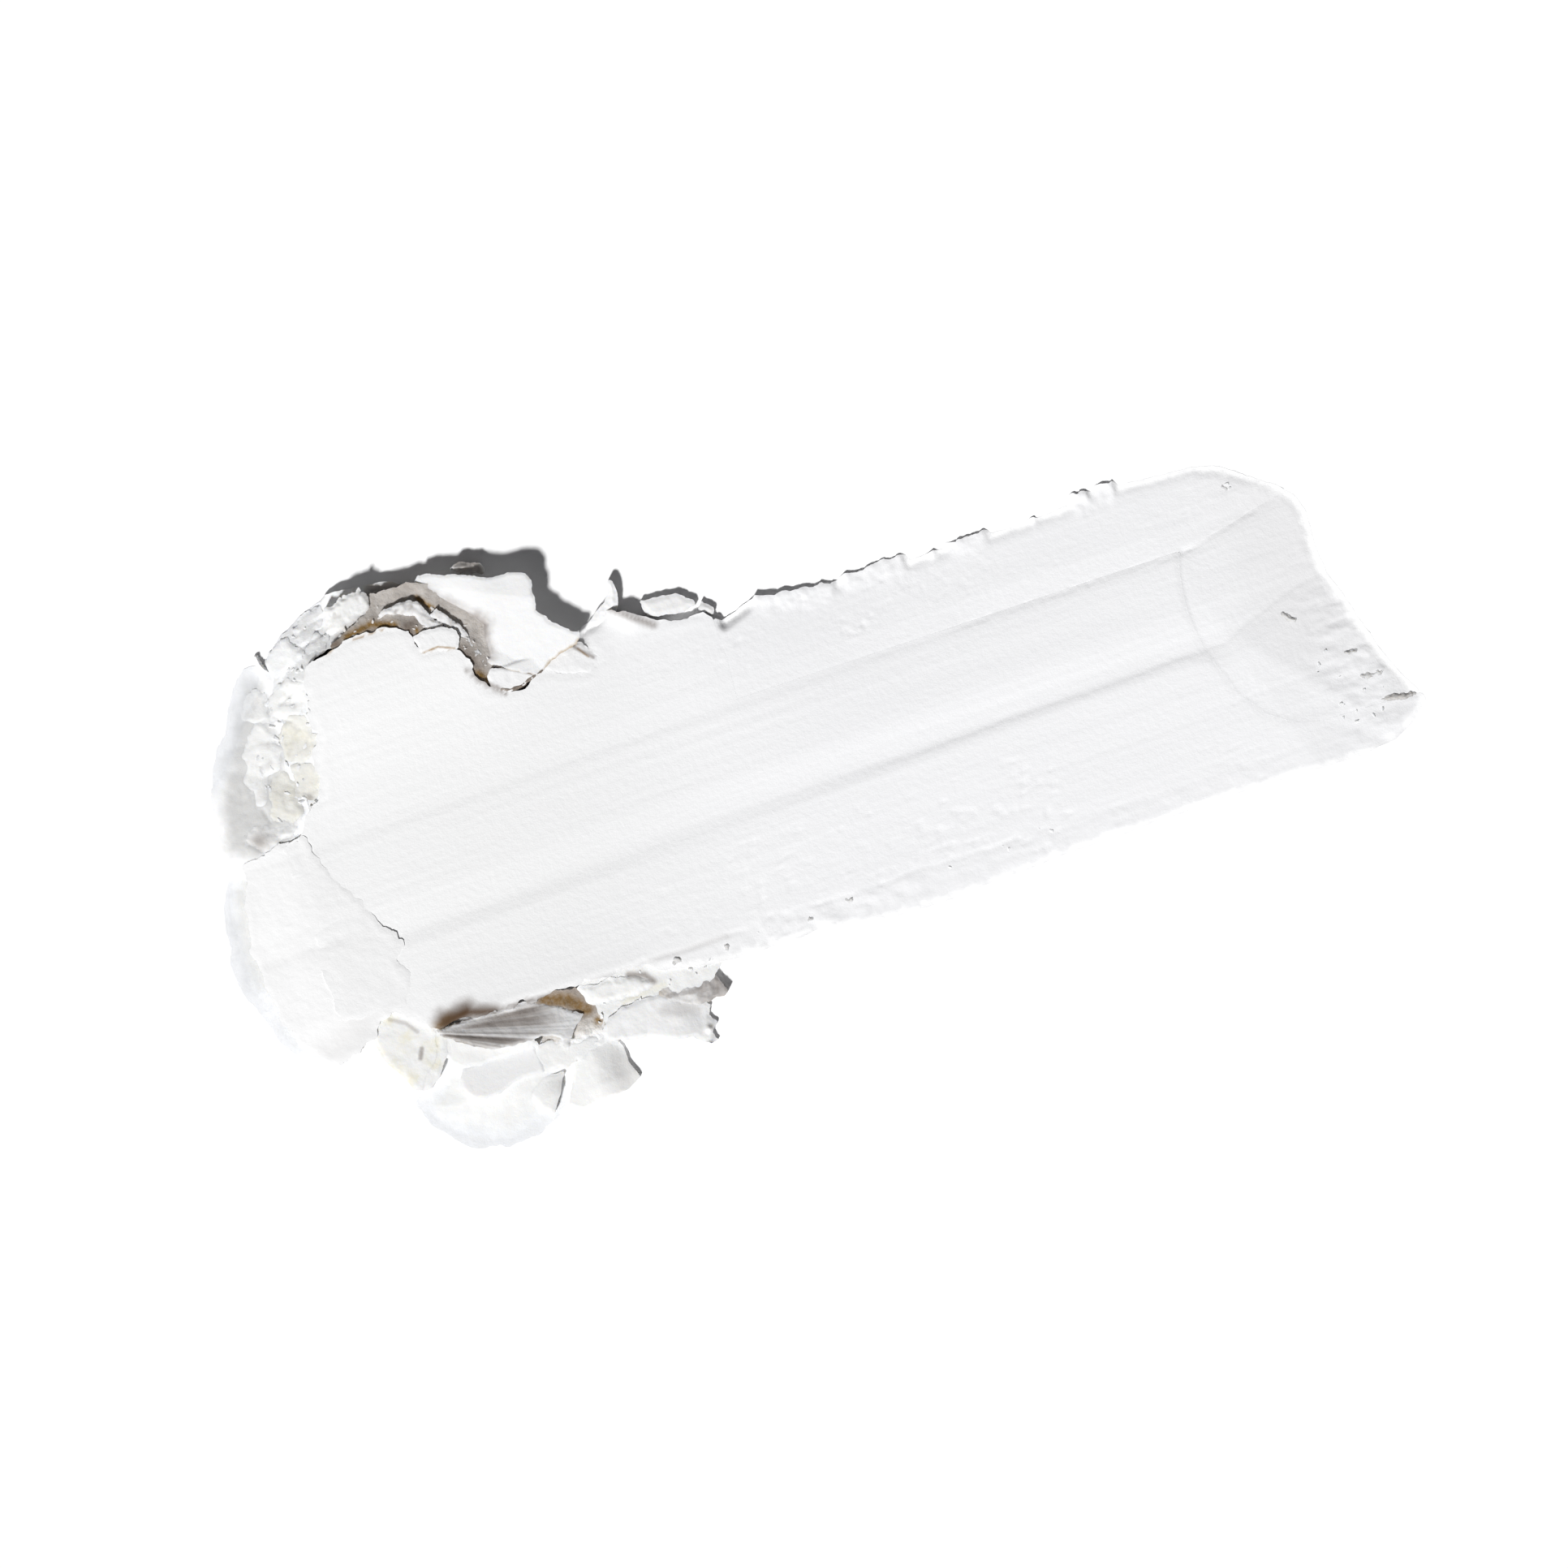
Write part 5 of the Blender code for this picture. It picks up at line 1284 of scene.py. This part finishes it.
def scatter_crumbs(name, outline, height, per_cm2, seed, smallest, largest, material, slot):
    """Crumbs lying on a height inside an outline, made by the node tree and then kept as a mesh."""
    own = np.array(outline) + OFF_CENTRE
    (west, south), (east, north) = own.min(axis=0), own.max(axis=0)
    x, y = np.meshgrid(np.arange(west, east, GROUND_CELL), np.arange(south, north, GROUND_CELL),
                       indexing="ij")
    inside = distance_in(x, y, own) > 0
    cells = inside[:-1, :-1] & inside[1:, 1:]
    z = height(x, y, 1.0 + 0.0 * x)
    number = np.arange(x.size).reshape(x.shape)
    faces = np.stack([number[:-1, :-1][cells], number[1:, :-1][cells], number[1:, 1:][cells],
                      number[:-1, 1:][cells]], axis=1).tolist()
    mesh = bpy.data.meshes.new(name + "_ground")
    mesh.from_pydata((np.stack([x, y, z], -1).reshape(-1, 3) * MM).tolist(), [], faces)
    holder = bpy.data.objects.new(name, mesh)
    bpy.context.scene.collection.objects.link(holder)
    maker = holder.modifiers.new("crumbs", "NODES")
    maker.node_group = CRUMB_TREE
    values = {"Density": per_cm2 * 1e4, "Seed": seed, "Smallest": smallest * MM, "Largest": largest * MM,
              "Material": material}
    for item in CRUMB_TREE.interface.items_tree:
        if item.in_out == "INPUT" and item.name in values:
            maker[item.identifier] = values[item.name]
    ready = holder.evaluated_get(bpy.context.evaluated_depsgraph_get())
    crumbs = bpy.data.meshes.new_from_object(ready)
    holder.modifiers.remove(maker)
    holder.data = crumbs
    for attribute in ("stain", "soak_and_painted_shade", "film_and_painted_light"):
        crumbs.attributes.new(attribute, "FLOAT", "POINT")
    finish_piece(holder, material, slot)


def on_layer(x, y, d):
    return pressed_face(x, y) + 0.02


def on_rim(x, y, d):
    return end_ground(x, y) + 0.03


CRUMB_TREE = crumb_nodes()
scatter_crumbs("rim_crumbs", [(-48.5, 7.0), (-44.0, 8.0), (-42.5, 13.0), (-41.5, 20.0), (-36.0, 22.5),
                              (-36.0, 25.2), (-41.0, 24.3), (-45.5, 21.5), (-48.8, 14.0)],
               on_rim, 70, 3, 0.15, 0.5, bank_chalk, "bank_chalk")
scatter_crumbs("crevice_crumbs", [(-38.0, 21.8), (-34.0, 22.5), (-30.5, 20.5), (-27.5, 19.0), (-26.3, 15.5),
                                  (-24.8, 13.5), (-24.4, 15.0), (-26.0, 20.0), (-29.5, 23.6), (-34.0, 24.6)],
               floor_top, 110, 5, 0.12, 0.4, floor_paste, "stained_chalk")
scatter_crumbs("bed_crumbs", [(-26.5, -15.4), (-13.5, -15.6), (-14.5, -18.0), (-20.0, -18.6), (-26.5, -19.5)],
               even(1.2), 60, 7, 0.12, 0.4, bank_chalk, "bank_chalk")
scatter_crumbs("margin_crumbs", [(-18.0, -15.0), (6.0, -14.9), (36.0, -14.7), (36.0, -15.4), (6.0, -16.4),
                                 (-18.0, -16.2)], on_layer, 14, 9, 0.1, 0.3, set_chalk, "set_chalk")
scatter_crumbs("heel_crumbs", [(45.5, -13.2), (47.5, -6.0), (50.2, -5.0), (55.0, -14.0), (54.0, -15.0),
                               (47.5, -15.2)], on_layer, 22, 11, 0.1, 0.34, bank_chalk, "bank_chalk")
scatter_crumbs("corner_crumbs", [(42.0, 8.6), (45.5, 8.4), (46.8, 9.2), (44.5, 10.6), (42.0, 9.8)],
               on_layer, 40, 13, 0.1, 0.3, bank_chalk, "bank_chalk")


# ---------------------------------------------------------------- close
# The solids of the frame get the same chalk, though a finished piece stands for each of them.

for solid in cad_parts.values():
    solid.data.materials.clear()
    solid.data.materials.append(set_chalk)
